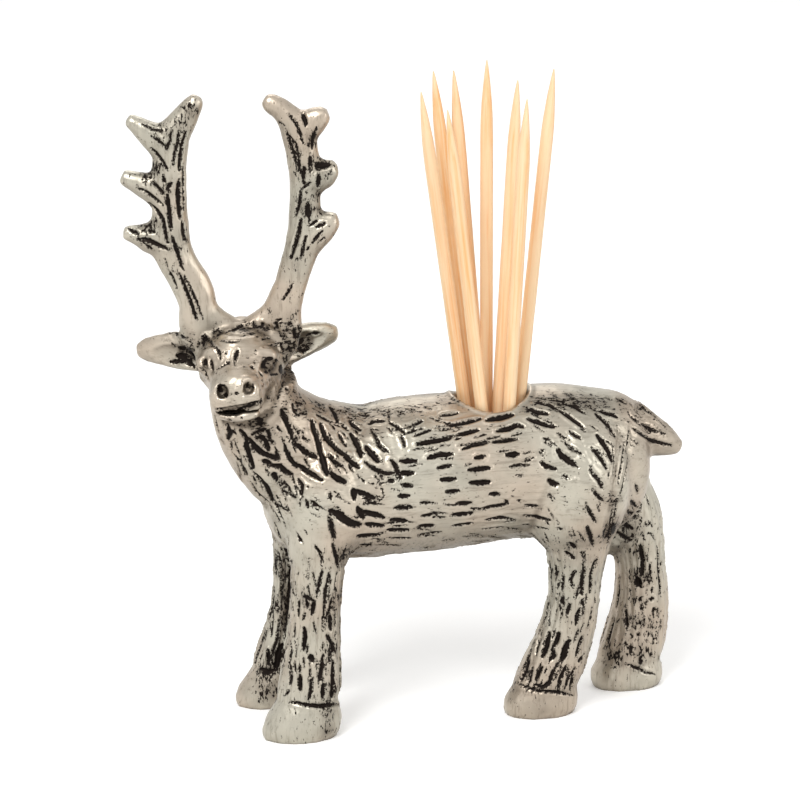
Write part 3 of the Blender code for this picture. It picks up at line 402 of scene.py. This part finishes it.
# Where each leg's own dashes run: from and to in degrees, 0 being the near side and 90
# the rear, and their columns
LEG_SPANS = {
    "near_front": (60, 285, 9), "far_front": (45, 290, 10),
    "near_hind": (60, 290, 9), "far_hind": (70, 300, 9),
}

def polyline(points, step):
    """Places along straight runs between points, at a step, with the share of the length."""
    runs = [(start, end, (end - start).length) for start, end in zip(points, points[1:])]
    total = sum(length for _, _, length in runs)
    placed = []
    done = 0.0
    for start, end, length in runs:
        count = max(int(length / step), 1)
        for share in [index / count for index in range(count)]:
            placed.append((start.lerp(end, share), (done + share * length) / total))
        done += length
    return placed + [(points[-1], 1.0)]


def stroke_radius(radius, share):
    """A stroke is full over most of its length and blunt at both ends."""
    return radius * (0.45 + 0.55 * math.sin(math.pi * min(max(share, 0.02), 0.98)) ** 0.4)


def cast_stroke(tree, rays, radius, reach=FAR):
    """The samples of a stroke, (place, normal, radius), where its rays meet the surface."""
    samples = []
    for start, way, share in rays:
        place, normal, _, _ = tree.ray_cast(start, way, reach)
        if place is not None:
            samples.append((place, normal, stroke_radius(radius, share)))
    return samples


def stroke_samples(tree, table_px):
    """The strokes of a table, on the surface that the camera sees."""
    strokes = []
    for width_px, *numbers in table_px:
        corners = list(accumulate(map(Vector, zip(numbers[::2], numbers[1::2]))))
        rays = [(EYE, pixel_ray(spot.x, spot.y), share)
                for spot, share in polyline(corners, STROKE_STEP / PIXEL)]
        radius = max(STROKE_FULLNESS * width_px * PIXEL / 2, THINNEST_STROKE)
        strokes.append(cast_stroke(tree, rays, radius))
    return strokes


def across_plane(place, plane_place, normal):
    return place - normal * (2 * (place - plane_place).dot(normal))


def mirrored(tree, strokes, plane):
    """The same strokes on the other side of a plane, brought back onto the surface."""
    flipped = []
    for samples in strokes:
        other = []
        for place, _, radius in samples:
            near, normal, _, gap = tree.find_nearest(across_plane(place, *plane))
            if near is not None and gap < MIRROR_REACH:
                other.append((near, normal, radius))
        flipped.append(other)
    return flipped


def even_shares(count):
    return [index / (count - 1) for index in range(count)]


def on_line(line, height, share):
    """Where a leg's middle line passes a height, or else its ends' mean at a share."""
    for before, after in zip(line, line[1:]):
        if after.z <= height <= before.z:
            return before.lerp(after, (before.z - height) / (before.z - after.z))
    return line[0].lerp(line[-1], share)


def leg_strokes(tree):
    """Upright dashes round each leg where the photograph doesn't show it."""
    strokes = []
    for seed, (name, (first, last, columns)) in enumerate(LEG_SPANS.items()):
        dice = random.Random(seed)
        line = [Vector(place) * MM for place in LEG_LINES[name]]
        for column in range(columns):
            angle = math.radians(first + (last - first) * (column + 0.5) / columns)
            way = Vector((math.sin(angle), -math.cos(angle), 0))
            for row in range(LEG_ROWS):
                start = (row + dice.uniform(0.02, 0.25)) / LEG_ROWS
                end = (row + dice.uniform(0.72, 0.95)) / LEG_ROWS
                radius = dice.uniform(*LEG_DASH) * MM
                rays = []
                for done in even_shares(LEG_SAMPLES):
                    share = start + (end - start) * done
                    height = line[0].lerp(line[-1], share).z
                    axis = on_line(line, height, share)
                    rays.append((axis + way * LEG_REACH, -way, done))
                strokes.append(cast_stroke(tree, rays, radius, LEG_REACH))
    return strokes


def belly_strokes(tree):
    """Long dashes along the belly."""
    dice = random.Random(11)
    strokes = []
    for row in range(-2, 3):
        for column in range(5):
            x = (BELLY_START + column * BELLY_PITCH + dice.uniform(-0.8, 0.8)
                 + (row % 2) * BELLY_ROW_SHIFT) * MM
            y = MID_PLANE_Y + row * BELLY_ROW_PITCH * MM
            length = dice.uniform(3.2, 4.6) * MM
            radius = dice.uniform(*BELLY_DASH) * MM
            rays = [(Vector((x + length * share, y, 0)), Vector((0, 0, 1)), share)
                    for share in even_shares(BELLY_SAMPLES)]
            strokes.append(cast_stroke(tree, rays, radius))
    return strokes


def fur_table():
    """The thin fur marks as strokes in the tables' own form."""
    dice = random.Random(5)
    marks = []
    for left, top, right, bottom, heading, length_px, count in FUR_PX:
        for _ in range(count):
            x_px, y_px = dice.uniform(left, right), dice.uniform(top, bottom)
            turn = math.radians(heading + dice.uniform(-9, 9))
            half = 0.5 * length_px * dice.uniform(0.5, 1.2)
            ahead, down = half * math.cos(turn), half * math.sin(turn)
            width_px = dice.uniform(1.0, 2.2)
            marks.append((width_px, x_px - ahead, y_px - down, 2 * ahead, 2 * down))
    return tuple(marks)


def all_strokes(tree):
    trunk = stroke_samples(tree, NECK_STROKES_PX + FLANK_STROKES_PX + RUMP_STROKES_PX
                           + TAIL_STROKES_PX + fur_table())
    limbs = stroke_samples(tree, LEG_STROKES_PX + HEAD_STROKES_PX + HOOF_STROKES_PX)
    rack = stroke_samples(tree, RACK_STROKES_PX)
    return (trunk + mirrored(tree, trunk, BODY_PLANE) + limbs + rack
            + mirrored(tree, rack, HEAD_PLANE) + leg_strokes(tree) + belly_strokes(tree))


def put(name, data, place=None, facing=None):
    """A new object, at a place and with its own +Z facing a way if they are given."""
    thing = bpy.data.objects.new(name, data)
    bpy.context.scene.collection.objects.link(thing)
    if place is not None:
        thing.location = place
        thing.rotation_mode = "QUATERNION"
        thing.rotation_quaternion = facing.to_track_quat("Z", "Y")
    return thing


def object_from(mesh, name, place=None, facing=None):
    data = bpy.data.meshes.new(name)
    mesh.to_mesh(data)
    mesh.free()
    return put(name, data, place, facing)


def round_places(count):
    """Cosine and sine of even steps round a circle."""
    turns = [math.tau * step / count for step in range(count)]
    return [(math.cos(turn), math.sin(turn)) for turn in turns]


def join_loops(mesh, loops):
    """Quads between each loop of vertices and the next."""
    faces = []
    for lower, upper in zip(loops, loops[1:]):
        for side in range(len(lower)):
            after = (side + 1) % len(lower)
            faces.append(mesh.faces.new((lower[side], lower[after], upper[after], upper[side])))
    return faces


def add_pocket_lip(mesh, tree):
    """A thin raised rim that follows the back round the pocket's mouth."""
    middle = POCKET_RADIUS + POCKET_LIP
    loops = []
    for out in [Vector((x, y, 0)) for x, y in round_places(LIP_STEPS)]:
        top = POCKET_AXIS + out * (middle + POCKET_LIP) + Vector((0, 0, ABOVE_BACK))
        place, _, _, _ = tree.ray_cast(top, Vector((0, 0, -1)))
        centre = POCKET_AXIS + out * middle + Vector((0, 0, place.z))
        loops.append([mesh.verts.new(centre + out * (POCKET_LIP * outward)
                                     + Vector((0, 0, POCKET_LIP * upward)))
                      for outward, upward in round_places(LIP_SIDES)])
    bmesh.ops.recalc_face_normals(mesh, faces=join_loops(mesh, loops + loops[:1]))


def add_plug(mesh):
    """Fills the joint under the antlers, so that both castings grow together."""
    place = Matrix.Translation((SKULL.x, SKULL.y, SEAT_HEIGHT - PLUG_DROP))
    turn = Matrix.Rotation(FACE_TURN, 4, "Z")
    made = bmesh.ops.create_uvsphere(mesh, u_segments=24, v_segments=14, radius=1,
                                     matrix=place @ turn @ Matrix.Diagonal((*PLUG_RADII, 1)))
    faces = {face for vert in made["verts"] for face in vert.link_faces}
    bmesh.ops.recalc_face_normals(mesh, faces=list(faces))


def grown_skin():
    """Both castings as one fine, even mesh, with the pocket's rim."""
    mesh = bmesh.new()
    for node in CASTINGS:
        mesh.from_mesh(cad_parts[node].data)
    bmesh.ops.remove_doubles(mesh, verts=mesh.verts, dist=WELD)
    add_pocket_lip(mesh, tree_of(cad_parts["stag_body"].data))
    add_plug(mesh)
    rough = object_from(mesh, "rough_skin")
    remesh = rough.modifiers.new("skin", "REMESH")
    remesh.mode = "VOXEL"
    remesh.voxel_size = GRAIN
    smooth = rough.modifiers.new("soft", "SMOOTH")
    smooth.factor = 0.5
    smooth.iterations = SOFTENING
    graph = bpy.context.evaluated_depsgraph_get()
    data = bpy.data.meshes.new_from_object(rough.evaluated_get(graph))
    bpy.data.objects.remove(rough, do_unlink=True)
    return data


def rows_of(items, name, width, kind=float):
    """An attribute of mesh elements as an array with a row for each."""
    values = np.empty(len(items) * width, dtype=kind)
    items.foreach_get(name, values)
    return values.reshape(-1, width)


def rise(values, start, width):
    """0 up to a start, 1 from a width further on; a negative width falls instead."""
    return np.clip((values - start) / width, 0, 1)


def around(values, ends, passes):
    """Values averaged with their neighbours' over and over."""
    count = np.zeros(len(values))
    np.add.at(count, ends[:, 0], 1)
    np.add.at(count, ends[:, 1], 1)
    shape = (-1, 1) if values.ndim > 1 else -1
    for _ in range(passes):
        total = np.zeros_like(values)
        np.add.at(total, ends[:, 0], values[ends[:, 1]])
        np.add.at(total, ends[:, 1], values[ends[:, 0]])
        values = 0.5 * values + 0.5 * total / np.maximum(count, 1).reshape(shape)
    return values


def ink_distance(places, strokes, reach):
    """How far each place lies inside the nearest stroke, and that stroke's radius."""
    samples = [sample for samples in strokes for sample in samples]
    tree = kdtree.KDTree(len(samples))
    for index, (place, _, _) in enumerate(samples):
        tree.insert(place, index)
    tree.balance()
    inside = np.full(len(places), -reach)
    radii = np.full(len(places), COMMON_RADIUS)
    for row, place in enumerate(places):
        for _, index, gap in tree.find_n(Vector(place), 3):
            radius = samples[index][2]
            if radius - gap > inside[row]:
                inside[row] = radius - gap
                radii[row] = radius
    return inside, radii


def dab(places, tree, x_px, y_px, half_x, half_y, tilt):
    """A soft oval patch on the surface that the photograph shows there, 1 in its middle."""
    centre = seen_at(tree, x_px, y_px)
    if centre is None:
        return 0
    gap = (places - np.array(centre)) / PIXEL
    right, up, depth = [gap @ np.array(way) for way in (RIGHT, UP, BACKWARD)]
    cos, sin = math.cos(math.radians(tilt)), math.sin(math.radians(tilt))
    far = np.hypot((right * cos - up * sin) / half_x, (up * cos + right * sin) / half_y)
    soft = np.clip(DAB_EDGE - far, 0, 1)
    reach = DAB_REACH / PIXEL + 0.6 * max(half_x, half_y)
    return soft ** 2 * (3 - 2 * soft) * np.clip(1.5 - np.abs(depth) / reach, 0, 1)


def sculpt(places, normals, tree):
    """Raises the forms and lowers the hollows and creases; also how sunk each place is."""
    lift = np.zeros(len(places))
    sunk = np.zeros(len(places))
    for *patch, height in FORMS_PX:
        lift += height * MM * dab(places, tree, *patch)
    for *patch, depth in HOLLOWS_PX:
        share = dab(places, tree, *patch)
        lift -= depth * MM * share
        sunk = np.maximum(sunk, share * min(depth / 0.5, 1))
    for width_px, depth, *numbers in CREASES_PX:
        line = stroke_samples(tree, [(width_px, *numbers)])
        inside, _ = ink_distance(places, line, CREASE_REACH)
        radius = width_px * PIXEL / 2
        outside = np.clip(radius - inside, 0, None)
        lift -= depth * MM * np.exp(-(outside / (1.6 * radius)) ** 2)
    return places + normals * lift[:, None], sunk


def dirt_share(places, tree):
    """How dirty each place is by its nearest spot; the far side has the same spots."""
    dirt = np.zeros(len(places))
    for x_px, y_px, radius, strength in GRIME_PX:
        centre = seen_at(tree, x_px, y_px)
        if centre is None:
            continue
        on_head = y_px < HEAD_FOOT_PX and x_px < HEAD_SIDE_PX
        other = across_plane(centre, *(HEAD_PLANE if on_head else BODY_PLANE))
        for spot in (centre, tree.find_nearest(other)[0]):
            gap = np.linalg.norm(places - np.array(spot), axis=1) / (radius / 10 * MM)
            dirt = np.maximum(dirt, strength / 10 * np.exp(-gap ** 2))
    return dirt


def limb_share(height):
    """1 on the legs and antlers, 0 on the trunk, where the fur runs lengthwise."""
    return np.maximum(rise(height, 36, -5), rise(height, 64, 5))


def ripples(places):
    """Low ridges of fur: lengthwise along the lower flank, upright round each leg."""
    x, y, z = (places / MM).T
    belly = rise(z, 43, -5) * rise(x, -12, 8) * rise(x, 24, -6) * (1 - limb_share(z))
    along = np.sin(5.2 * z + 0.9 * np.sin(0.42 * x) + 0.35 * np.sin(1.3 * x) + 0.6 * y)
    nearest = np.full(len(places), np.inf)
    round_leg = np.zeros(len(places))
    for line in LEG_LINES.values():
        line_x, line_y, heights = zip(*line[::-1])
        from_x = x - np.interp(z, heights, line_x)
        from_y = y - np.interp(z, heights, line_y)
        gap = np.hypot(from_x, from_y)
        turn = np.sin(FLUTES * np.arctan2(from_y, from_x) + 0.7 * np.sin(0.5 * z))
        round_leg = np.where(gap < nearest, turn, round_leg)
        nearest = np.minimum(nearest, gap)
    leg = rise(z, 32, -4) * rise(z, 5, 2)
    return RIPPLE * (belly * along + LEG_RIPPLE_SHARE * leg * round_leg)


def cast_waves(places):
    """The slight hand-worked unevenness of the cast surface."""
    x, y, z = (places / MM).T
    slow = np.sin(0.9 * x + 1.3 * z) * np.cos(1.1 * y - 0.7 * z) + np.sin(1.7 * z + 0.8 * y)
    quick = np.sin(3.1 * x - 2.3 * y) * np.sin(2.7 * z + 1.9 * x)
    return (SLOW_WAVE * slow + QUICK_WAVE * quick) * MM


def shaded_share(places, normals, ends, tree):
    """How closed in each place is: the share of its outward view that other metal fills."""
    rays = []
    for ray in range(SHADE_RAYS):
        turn, tilt = ray * SHADE_TURN, math.sqrt((ray + 0.5) / SHADE_RAYS)
        rays.append((tilt * math.cos(turn), tilt * math.sin(turn), math.sqrt(1 - tilt * tilt)))
    shade = np.zeros(len(places))
    for row, (place, normal) in enumerate(zip(places, normals)):
        out = Vector(normal)
        side = out.orthogonal().normalized()
        other = out.cross(side)
        start = Vector(place) + out * SHADE_START
        for right, ahead, up in rays:
            way = side * right + other * ahead + out * up
            _, _, _, gap = tree.ray_cast(start, way, SHADE_REACH)
            if gap is not None:
                shade[row] += 1 - gap / SHADE_REACH
    return around(shade / SHADE_RAYS, ends, 5)


def engrave(data, tree):
    """Sculpts a skin, cuts the strokes into it and paints its four layers."""
    places, normals = rows_of(data.vertices, "co", 3), rows_of(data.vertices, "normal", 3)
    ends = rows_of(data.edges, "vertices", 2, np.int64)
    places, sunk = sculpt(places, normals, tree)
    inside, radii = ink_distance(places, all_strokes(tree), INK_REACH)
    pools = np.zeros(len(places))
    for patch in POOLS_PX:
        pools = np.maximum(pools, dab(places, tree, *patch))
    depth = np.clip(inside / radii, 0, 1)
    groove = depth * (2 - depth) * np.clip(radii / COMMON_RADIUS, 0.5, 1.3)
    border = np.where(inside > 0, 0, np.exp(-((inside / radii + 0.75) / 0.5) ** 2))
    relief = BORDER_HEIGHT * border - GROOVE_DEPTH * groove
    moved = places + normals * (relief + cast_waves(places) + ripples(places))[:, None]
    moved[moved[:, 2] < SOLE_BAND, 2] = 0
    bulge = ((around(places, ends, 10) - places) * normals).sum(1)
    hollow = around(bulge, ends, 3) / (0.1 * MM)
    height, facing_up = places[:, 2] / MM, normals[:, 2]
    upright = limb_share(height)
    # In the brown haze, shade, dip, sunk, under, back, leg and beam are painted shade: darker
    # where closed in, concave, sunk, facing down, on the back's top and on the limbs; dirt adds
    # the grime spots and hoof darkens the hooves
    causes = {
        "dirt": dirt_share(places, tree), "shade": shaded_share(places, normals, ends, tree),
        "hollow": np.clip(hollow, -0.6, 1.2), "dip": np.clip(hollow, -0.8, 1.2), "sunk": sunk,
        "under": np.clip(0.15 - facing_up, 0, 1), "hoof": height < 5,
        "back": rise(facing_up, 0.25, 0.6) * rise(height, 44, 4) * (1 - upright),
        "leg": rise(height, 34, -4) * rise(height, 4.5, 2), "beam": rise(height, 71, 3),
    }
    layers = {
        "ink": np.maximum(inside / MM, (pools - 0.45) * 0.6),
        "grime": sum(share * causes[cause] for cause, share in GRIME_CAUSES.items()),
        "painted_shade_and_dirt": sum(share * causes[cause] for cause, share in PAINTED_SHADE_AND_DIRT_CAUSES.items()),
        "upright": upright,
    }
    data.vertices.foreach_set("co", moved.ravel())
    for name, values in layers.items():
        layer = data.attributes.new(name, "FLOAT", "POINT")
        layer.data.foreach_set("value", values.astype(np.float32))
    data.update()


def keep_largest(mesh):
    """Drops every loose scrap but the largest connected piece."""
    left = set(mesh.verts)
    groups = []
    while left:
        group = front = {left.pop()}
        while front:
            front = {edge.other_vert(vert) for vert in front for edge in vert.link_edges} & left
            left -= front
            group = group | front
        groups.append(group)
    for group in sorted(groups, key=len)[:-1]:
        bmesh.ops.delete(mesh, geom=list(group), context="VERTS")


def split_castings(data):
    """The skin's two pieces: each face goes to the casting whose surface is nearer."""
    stag, rack = [tree_of(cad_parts[node].data) for node in CASTINGS]
    mesh = bmesh.new()
    mesh.from_mesh(data)
    owners = []
    for face in mesh.faces:
        place = face.calc_center_median()
        owners.append(place.z > SEAT_HEIGHT - SPLIT_DROP
                      and rack.find_nearest(place)[3] < stag.find_nearest(place)[3])
    pieces = []
    for wanted, name in ((False, "engraved_stag"), (True, "engraved_antlers")):
        half = mesh.copy()
        gone = [face for face, owner in zip(half.faces, owners) if owner != wanted]
        bmesh.ops.delete(half, geom=gone, context="FACES")
        keep_largest(half)
        rim = [edge for edge in half.edges if edge.is_boundary]
        for edge in rim:
            edge.smooth = False
        bmesh.ops.holes_fill(half, edges=rim, sides=0)
        for face in half.faces:
            face.smooth = True
        pieces.append(object_from(half, name))
    mesh.free()
    return pieces


# Metal: its colours, and the scales of its noises in waves per metre
METAL_LIGHT = (0.505, 0.475, 0.395, 1)
METAL_WARM = (0.50, 0.42, 0.335, 1)
METAL_DULL = (0.24, 0.225, 0.185, 1)
# A dark brown for the fur's hair lines and for the painted shade of the brown haze
METAL_HAZE = (0.10, 0.078, 0.056, 1)
WASH_BLACK = (0.015, 0.011, 0.009, 1)
FRAY_SCALE = 2800
FLECK_SCALE = 2500
HAIR_SCALE = 1700
CLUSTER_SCALE = 600
PATCH_SCALE = 130
WARMTH_SCALE = 60


class Nodes:
    """A short way to write a node tree. A value that is fed is a number, colour or socket."""

    def __init__(self, tree):
        self.tree = tree

    def feed(self, node, key, value):
        if isinstance(value, bpy.types.NodeSocket):
            self.tree.links.new(value, node.inputs[key])
        else:
            node.inputs[key].default_value = value

    def fill(self, node, **inputs):
        for name, value in inputs.items():
            self.feed(node, name.replace("_", " "), value)

    def add(self, kind, settings=None, **inputs):
        node = self.tree.nodes.new(kind)
        for name, value in (settings or {}).items():
            setattr(node, name, value)
        self.fill(node, **inputs)
        return node

    def layer(self, name):
        return self.add("ShaderNodeAttribute", {"attribute_name": name}).outputs["Fac"]

    def noise(self, place, scale, detail, roughness=0.6):
        return self.add("ShaderNodeTexNoise", Vector=place, Scale=scale, Detail=detail,
                        Roughness=roughness).outputs["Fac"]

    def stretched(self, place, scale):
        return self.add("ShaderNodeMapping", Vector=place, Scale=scale).outputs["Vector"]

    def bump(self, height, strength, distance):
        return self.add("ShaderNodeBump", Height=height, Strength=strength,
                        Distance=distance).outputs["Normal"]

    def math(self, kind, *values):
        node = self.add("ShaderNodeMath", {"operation": kind})
        for index, value in enumerate(values):
            self.feed(node, index, value)
        return node.outputs[0]

    def times(self, value, factor, more=0.0):
        return self.math("MULTIPLY_ADD", value, factor, more)

    def step(self, value, low, high):
        return self.add("ShaderNodeMapRange", {"interpolation_type": "SMOOTHSTEP"}, Value=value,
                        From_Min=low, From_Max=high).outputs["Result"]

    def mix(self, share, first, second):
        node = self.add("ShaderNodeMix", {"data_type": "RGBA"})
        for index, value in ((0, share), (6, first), (7, second)):
            self.feed(node, index, value)
        return node.outputs[2]


def new_material(name):
    """A material, its nodes and its shader."""
    material = bpy.data.materials.new(name)
    material.use_nodes = True
    nodes = Nodes(material.node_tree)
    return material, nodes, material.node_tree.nodes["Principled BSDF"]


def metal_material():
    material, nodes, shader = new_material("antiqued_metal")
    place = nodes.add("ShaderNodeTexCoord").outputs["Object"]
    upright = nodes.layer("upright")

    def along_fur(scale, stretch):
        """Noise drawn out lengthwise on the trunk and upright on the limbs."""
        trunk, limb = [nodes.noise(nodes.stretched(place, ways), scale, 4, 0.68)
                       for ways in ((stretch, 1, 1), (1, 1, stretch))]
        return nodes.mix(upright, trunk, limb)

    fray = nodes.noise(place, FRAY_SCALE, 3, 0.7)
    flecks = along_fur(FLECK_SCALE, 0.45)
    hair = along_fur(HAIR_SCALE, 0.14)
    cluster = nodes.noise(place, CLUSTER_SCALE, 2)
    patch = nodes.noise(place, PATCH_SCALE, 3)
    warmth = nodes.noise(place, WARMTH_SCALE, 2)
    edge = nodes.times(nodes.math("SUBTRACT", fray, 0.52), 0.95, nodes.layer("ink"))
    stroke = nodes.step(edge, -0.05, 0.06)
    filth = nodes.step(nodes.layer("grime"), 0.0, 1.2)
    crust = nodes.times(filth, 0.17, nodes.times(cluster, 0.30, flecks))
    wash = nodes.math("MAXIMUM", stroke, nodes.step(crust, 0.785, 0.83))
    # Painted shade: the brown haze layer darkens the metal in closed-in, sunk and concave places,
    # on undersides, on the top of the back and on the limbs, and also carries the dirt spots
    painted_shade_and_dirt = nodes.step(nodes.layer("painted_shade_and_dirt"), -0.05, 1.15)
    bare = nodes.mix(nodes.step(warmth, 0.35, 0.65), METAL_LIGHT, METAL_WARM)
    worn = nodes.mix(nodes.times(nodes.step(patch, 0.42, 0.75), 0.40), bare, METAL_DULL)
    lined = nodes.mix(nodes.times(nodes.step(hair, 0.50, 0.68), 0.34), worn, METAL_HAZE)
    shaded_and_soiled = nodes.mix(nodes.times(painted_shade_and_dirt, 0.80), lined, METAL_HAZE)
    rough = nodes.times(painted_shade_and_dirt, 0.12, nodes.times(wash, 0.15, nodes.times(patch, 0.14, 0.30)))
    height = nodes.times(wash, -0.6, nodes.times(hair, 0.9, nodes.times(cluster, 0.5)))
    nodes.fill(shader, Base_Color=nodes.mix(wash, shaded_and_soiled, WASH_BLACK), Metallic=0.95,
               Roughness=rough, Normal=nodes.bump(height, 0.55, 0.09 * MM))
    return material


def dress_castings():
    metal = metal_material()
    skin = grown_skin()
    engrave(skin, tree_of(skin))
    for thing, node, slot in zip(split_castings(skin), CASTINGS, ("stag_metal", "antler_metal")):
        thing.data.materials.clear()
        thing.data.materials.append(metal)
        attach(thing, "holder")
        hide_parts(node)
    bpy.data.meshes.remove(skin)


# Picks
PICK_COUNT = 8
PICK_SIDES = 20
PICK_ROWS = 40
PICK_RADIUS = 1.05 * MM
PICK_TAPER = 12 * MM
POINT_SHARE = 0.08
END_BAND = 0.01 * MM
WOOD_PALE = (0.92, 0.68, 0.43, 1)
WOOD_DEEP = (0.86, 0.44, 0.17, 1)
PICK_TINT = 0.22
FIBRE_SCALE = 3200
BAND_SCALE = 900


def wood_material():
    material, nodes, shader = new_material("bare_wood")
    place = nodes.add("ShaderNodeTexCoord").outputs["Object"]
    shift = nodes.add("ShaderNodeObjectInfo").outputs["Random"]
    offset = nodes.add("ShaderNodeVectorMath", {"operation": "ADD"})
    nodes.feed(offset, 0, place)
    nodes.feed(offset, 1, shift)
    along = nodes.stretched(offset.outputs[0], (1, 1, 0.03))
    grain = nodes.noise(along, FIBRE_SCALE, 4)
    tone = nodes.times(grain, 0.45, nodes.times(nodes.noise(along, BAND_SCALE, 2), 0.55))
    each = nodes.step(nodes.times(shift, PICK_TINT, tone), 0.38 + PICK_TINT / 2,
                      0.72 + PICK_TINT / 2)
    nodes.fill(shader, Base_Color=nodes.mix(each, WOOD_PALE, WOOD_DEEP), Roughness=0.55,
               Specular_IOR_Level=0.3, Normal=nodes.bump(grain, 0.25, 0.05 * MM))
    return material


def pick_line(node):
    """The foot and tip of a pick's solid: the two ends of its axis."""
    points = np.array([v.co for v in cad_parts[node].data.vertices])
    middle = points.mean(0)
    axis = np.linalg.svd(points - middle)[2][0]
    axis = axis * np.sign(axis[2])
    along = (points - middle) @ axis
    foot = points[along < along.min() + END_BAND].mean(0)
    tip = points[along > along.max() - END_BAND].mean(0)
    return Vector(foot), Vector(tip)


def build_pick(number, wood):
    """A split and sanded pick: a little flattened, with uneven points."""
    dice = random.Random(number)
    node = "toothpick_%d" % number
    foot, tip = pick_line(node)
    length = (tip - foot).length
    mesh = bmesh.new()
    loops = []
    flat = dice.uniform(0, math.tau)
    bow = dice.uniform(-0.02, 0.02) * MM
    for row in range(PICK_ROWS + 1):
        share = row / PICK_ROWS
        # Rows lie closer together along the points
        height = length * (share - 0.40 * math.sin(math.tau * share) / math.tau)
        end = min(height, length - height) / PICK_TAPER
        body = POINT_SHARE + (1 - POINT_SHARE) * math.sin(math.pi / 2 * min(end, 1)) ** 0.85
        body *= 1 - dice.uniform(0, 0.025)
        points = []
        for side in range(PICK_SIDES):
            angle = math.tau * side / PICK_SIDES
            dent = (1 - 0.05 * max(math.cos(angle - flat), 0) ** 3
                    - 0.02 * math.cos(3 * angle + flat) ** 2)
            radius = PICK_RADIUS * body * dent
            x = radius * math.cos(angle) + bow * math.sin(math.pi * share)
            points.append(mesh.verts.new((x, radius * math.sin(angle), height)))
        loops.append(points)
    mesh.faces.new(loops[0][::-1])
    mesh.faces.new(loops[-1])
    join_loops(mesh, loops)
    pick = object_from(mesh, "wooden_pick_%d" % number, foot, tip - foot)
    pick.data.shade_smooth()
    pick.data.materials.append(wood)
    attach(pick, "pick_%d" % number)
    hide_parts(node)


# Stage: the floor's half side, its own colour and how much it glows toward the camera
FLOOR_HALF = 0.9
FLOOR_LEVEL = 0.93
FLOOR_GLOW = 0.24
WORLD_TINT = (1.0, 0.99, 0.97, 1)
WORLD_STRENGTH = 0.55
LAMP_TARGET = Vector((0, 0, 0.04))
# Each lamp's place, size and watts
LAMPS = {
    "key": ((-0.45, -0.55, 0.75), 0.45, 6.0), "fill": ((0.65, -0.55, 0.30), 0.50, 1.6),
    "back": ((0.10, 0.60, 0.70), 0.50, 1.6),
}


def seen_share(nodes):
    """1 for what the camera sees, straight or in a polished surface, and 0 for other light."""
    path = nodes.add("ShaderNodeLightPath")
    seen = path.outputs["Is Camera Ray"]
    for ray in ("Is Glossy Ray", "Is Transmission Ray"):
        seen = nodes.math("MAXIMUM", seen, path.outputs[ray])
    return seen


def floor_material():
    """A pale matt floor that reads as white where no shadow falls."""
    material, nodes, shader = new_material("pale_floor")
    nodes.fill(shader, Base_Color=(FLOOR_LEVEL, FLOOR_LEVEL, FLOOR_LEVEL, 1), Roughness=0.9,
               Specular_IOR_Level=0.1, Emission_Color=(1, 1, 1, 1),
               Emission_Strength=nodes.times(seen_share(nodes), FLOOR_GLOW))
    return material


def build_stage():
    mesh = bmesh.new()
    bmesh.ops.create_grid(mesh, x_segments=1, y_segments=1, size=FLOOR_HALF)
    floor = object_from(mesh, "floor")
    floor.data.materials.append(floor_material())


def build_world():
    """White to the camera, and a softer light for everything else."""
    world = bpy.data.worlds.new("studio")
    bpy.context.scene.world = world
    world.use_nodes = True
    world.node_tree.nodes.clear()
    nodes = Nodes(world.node_tree)
    soft = nodes.add("ShaderNodeBackground", Color=WORLD_TINT, Strength=WORLD_STRENGTH)
    white = nodes.add("ShaderNodeBackground", Color=(1, 1, 1, 1), Strength=1.0)
    mix = nodes.add("ShaderNodeMixShader")
    for index, value in enumerate((seen_share(nodes), soft.outputs[0], white.outputs[0])):
        nodes.feed(mix, index, value)
    nodes.feed(nodes.add("ShaderNodeOutputWorld"), 0, mix.outputs[0])


def build_lamps():
    for name, (place, size, watts) in LAMPS.items():
        data = bpy.data.lights.new(name, "AREA")
        data.shape = "DISK"
        data.size = size
        data.energy = watts
        put(name, data, Vector(place), Vector(place) - LAMP_TARGET)


def build_camera():
    data = bpy.data.cameras.new("photo_camera")
    data.sensor_width = SENSOR
    data.lens = SENSOR * CAMERA_DISTANCE / (PHOTO_SIZE * PIXEL)
    data.clip_start = CLIP_START
    bpy.context.scene.camera = put("photo_camera", data, EYE, BACKWARD)


build_camera()
build_world()
build_lamps()
build_stage()
dress_castings()
pick_wood = wood_material()
for pick_number in range(1, PICK_COUNT + 1):
    build_pick(pick_number, pick_wood)
bpy.context.scene.view_settings.view_transform = "Standard"
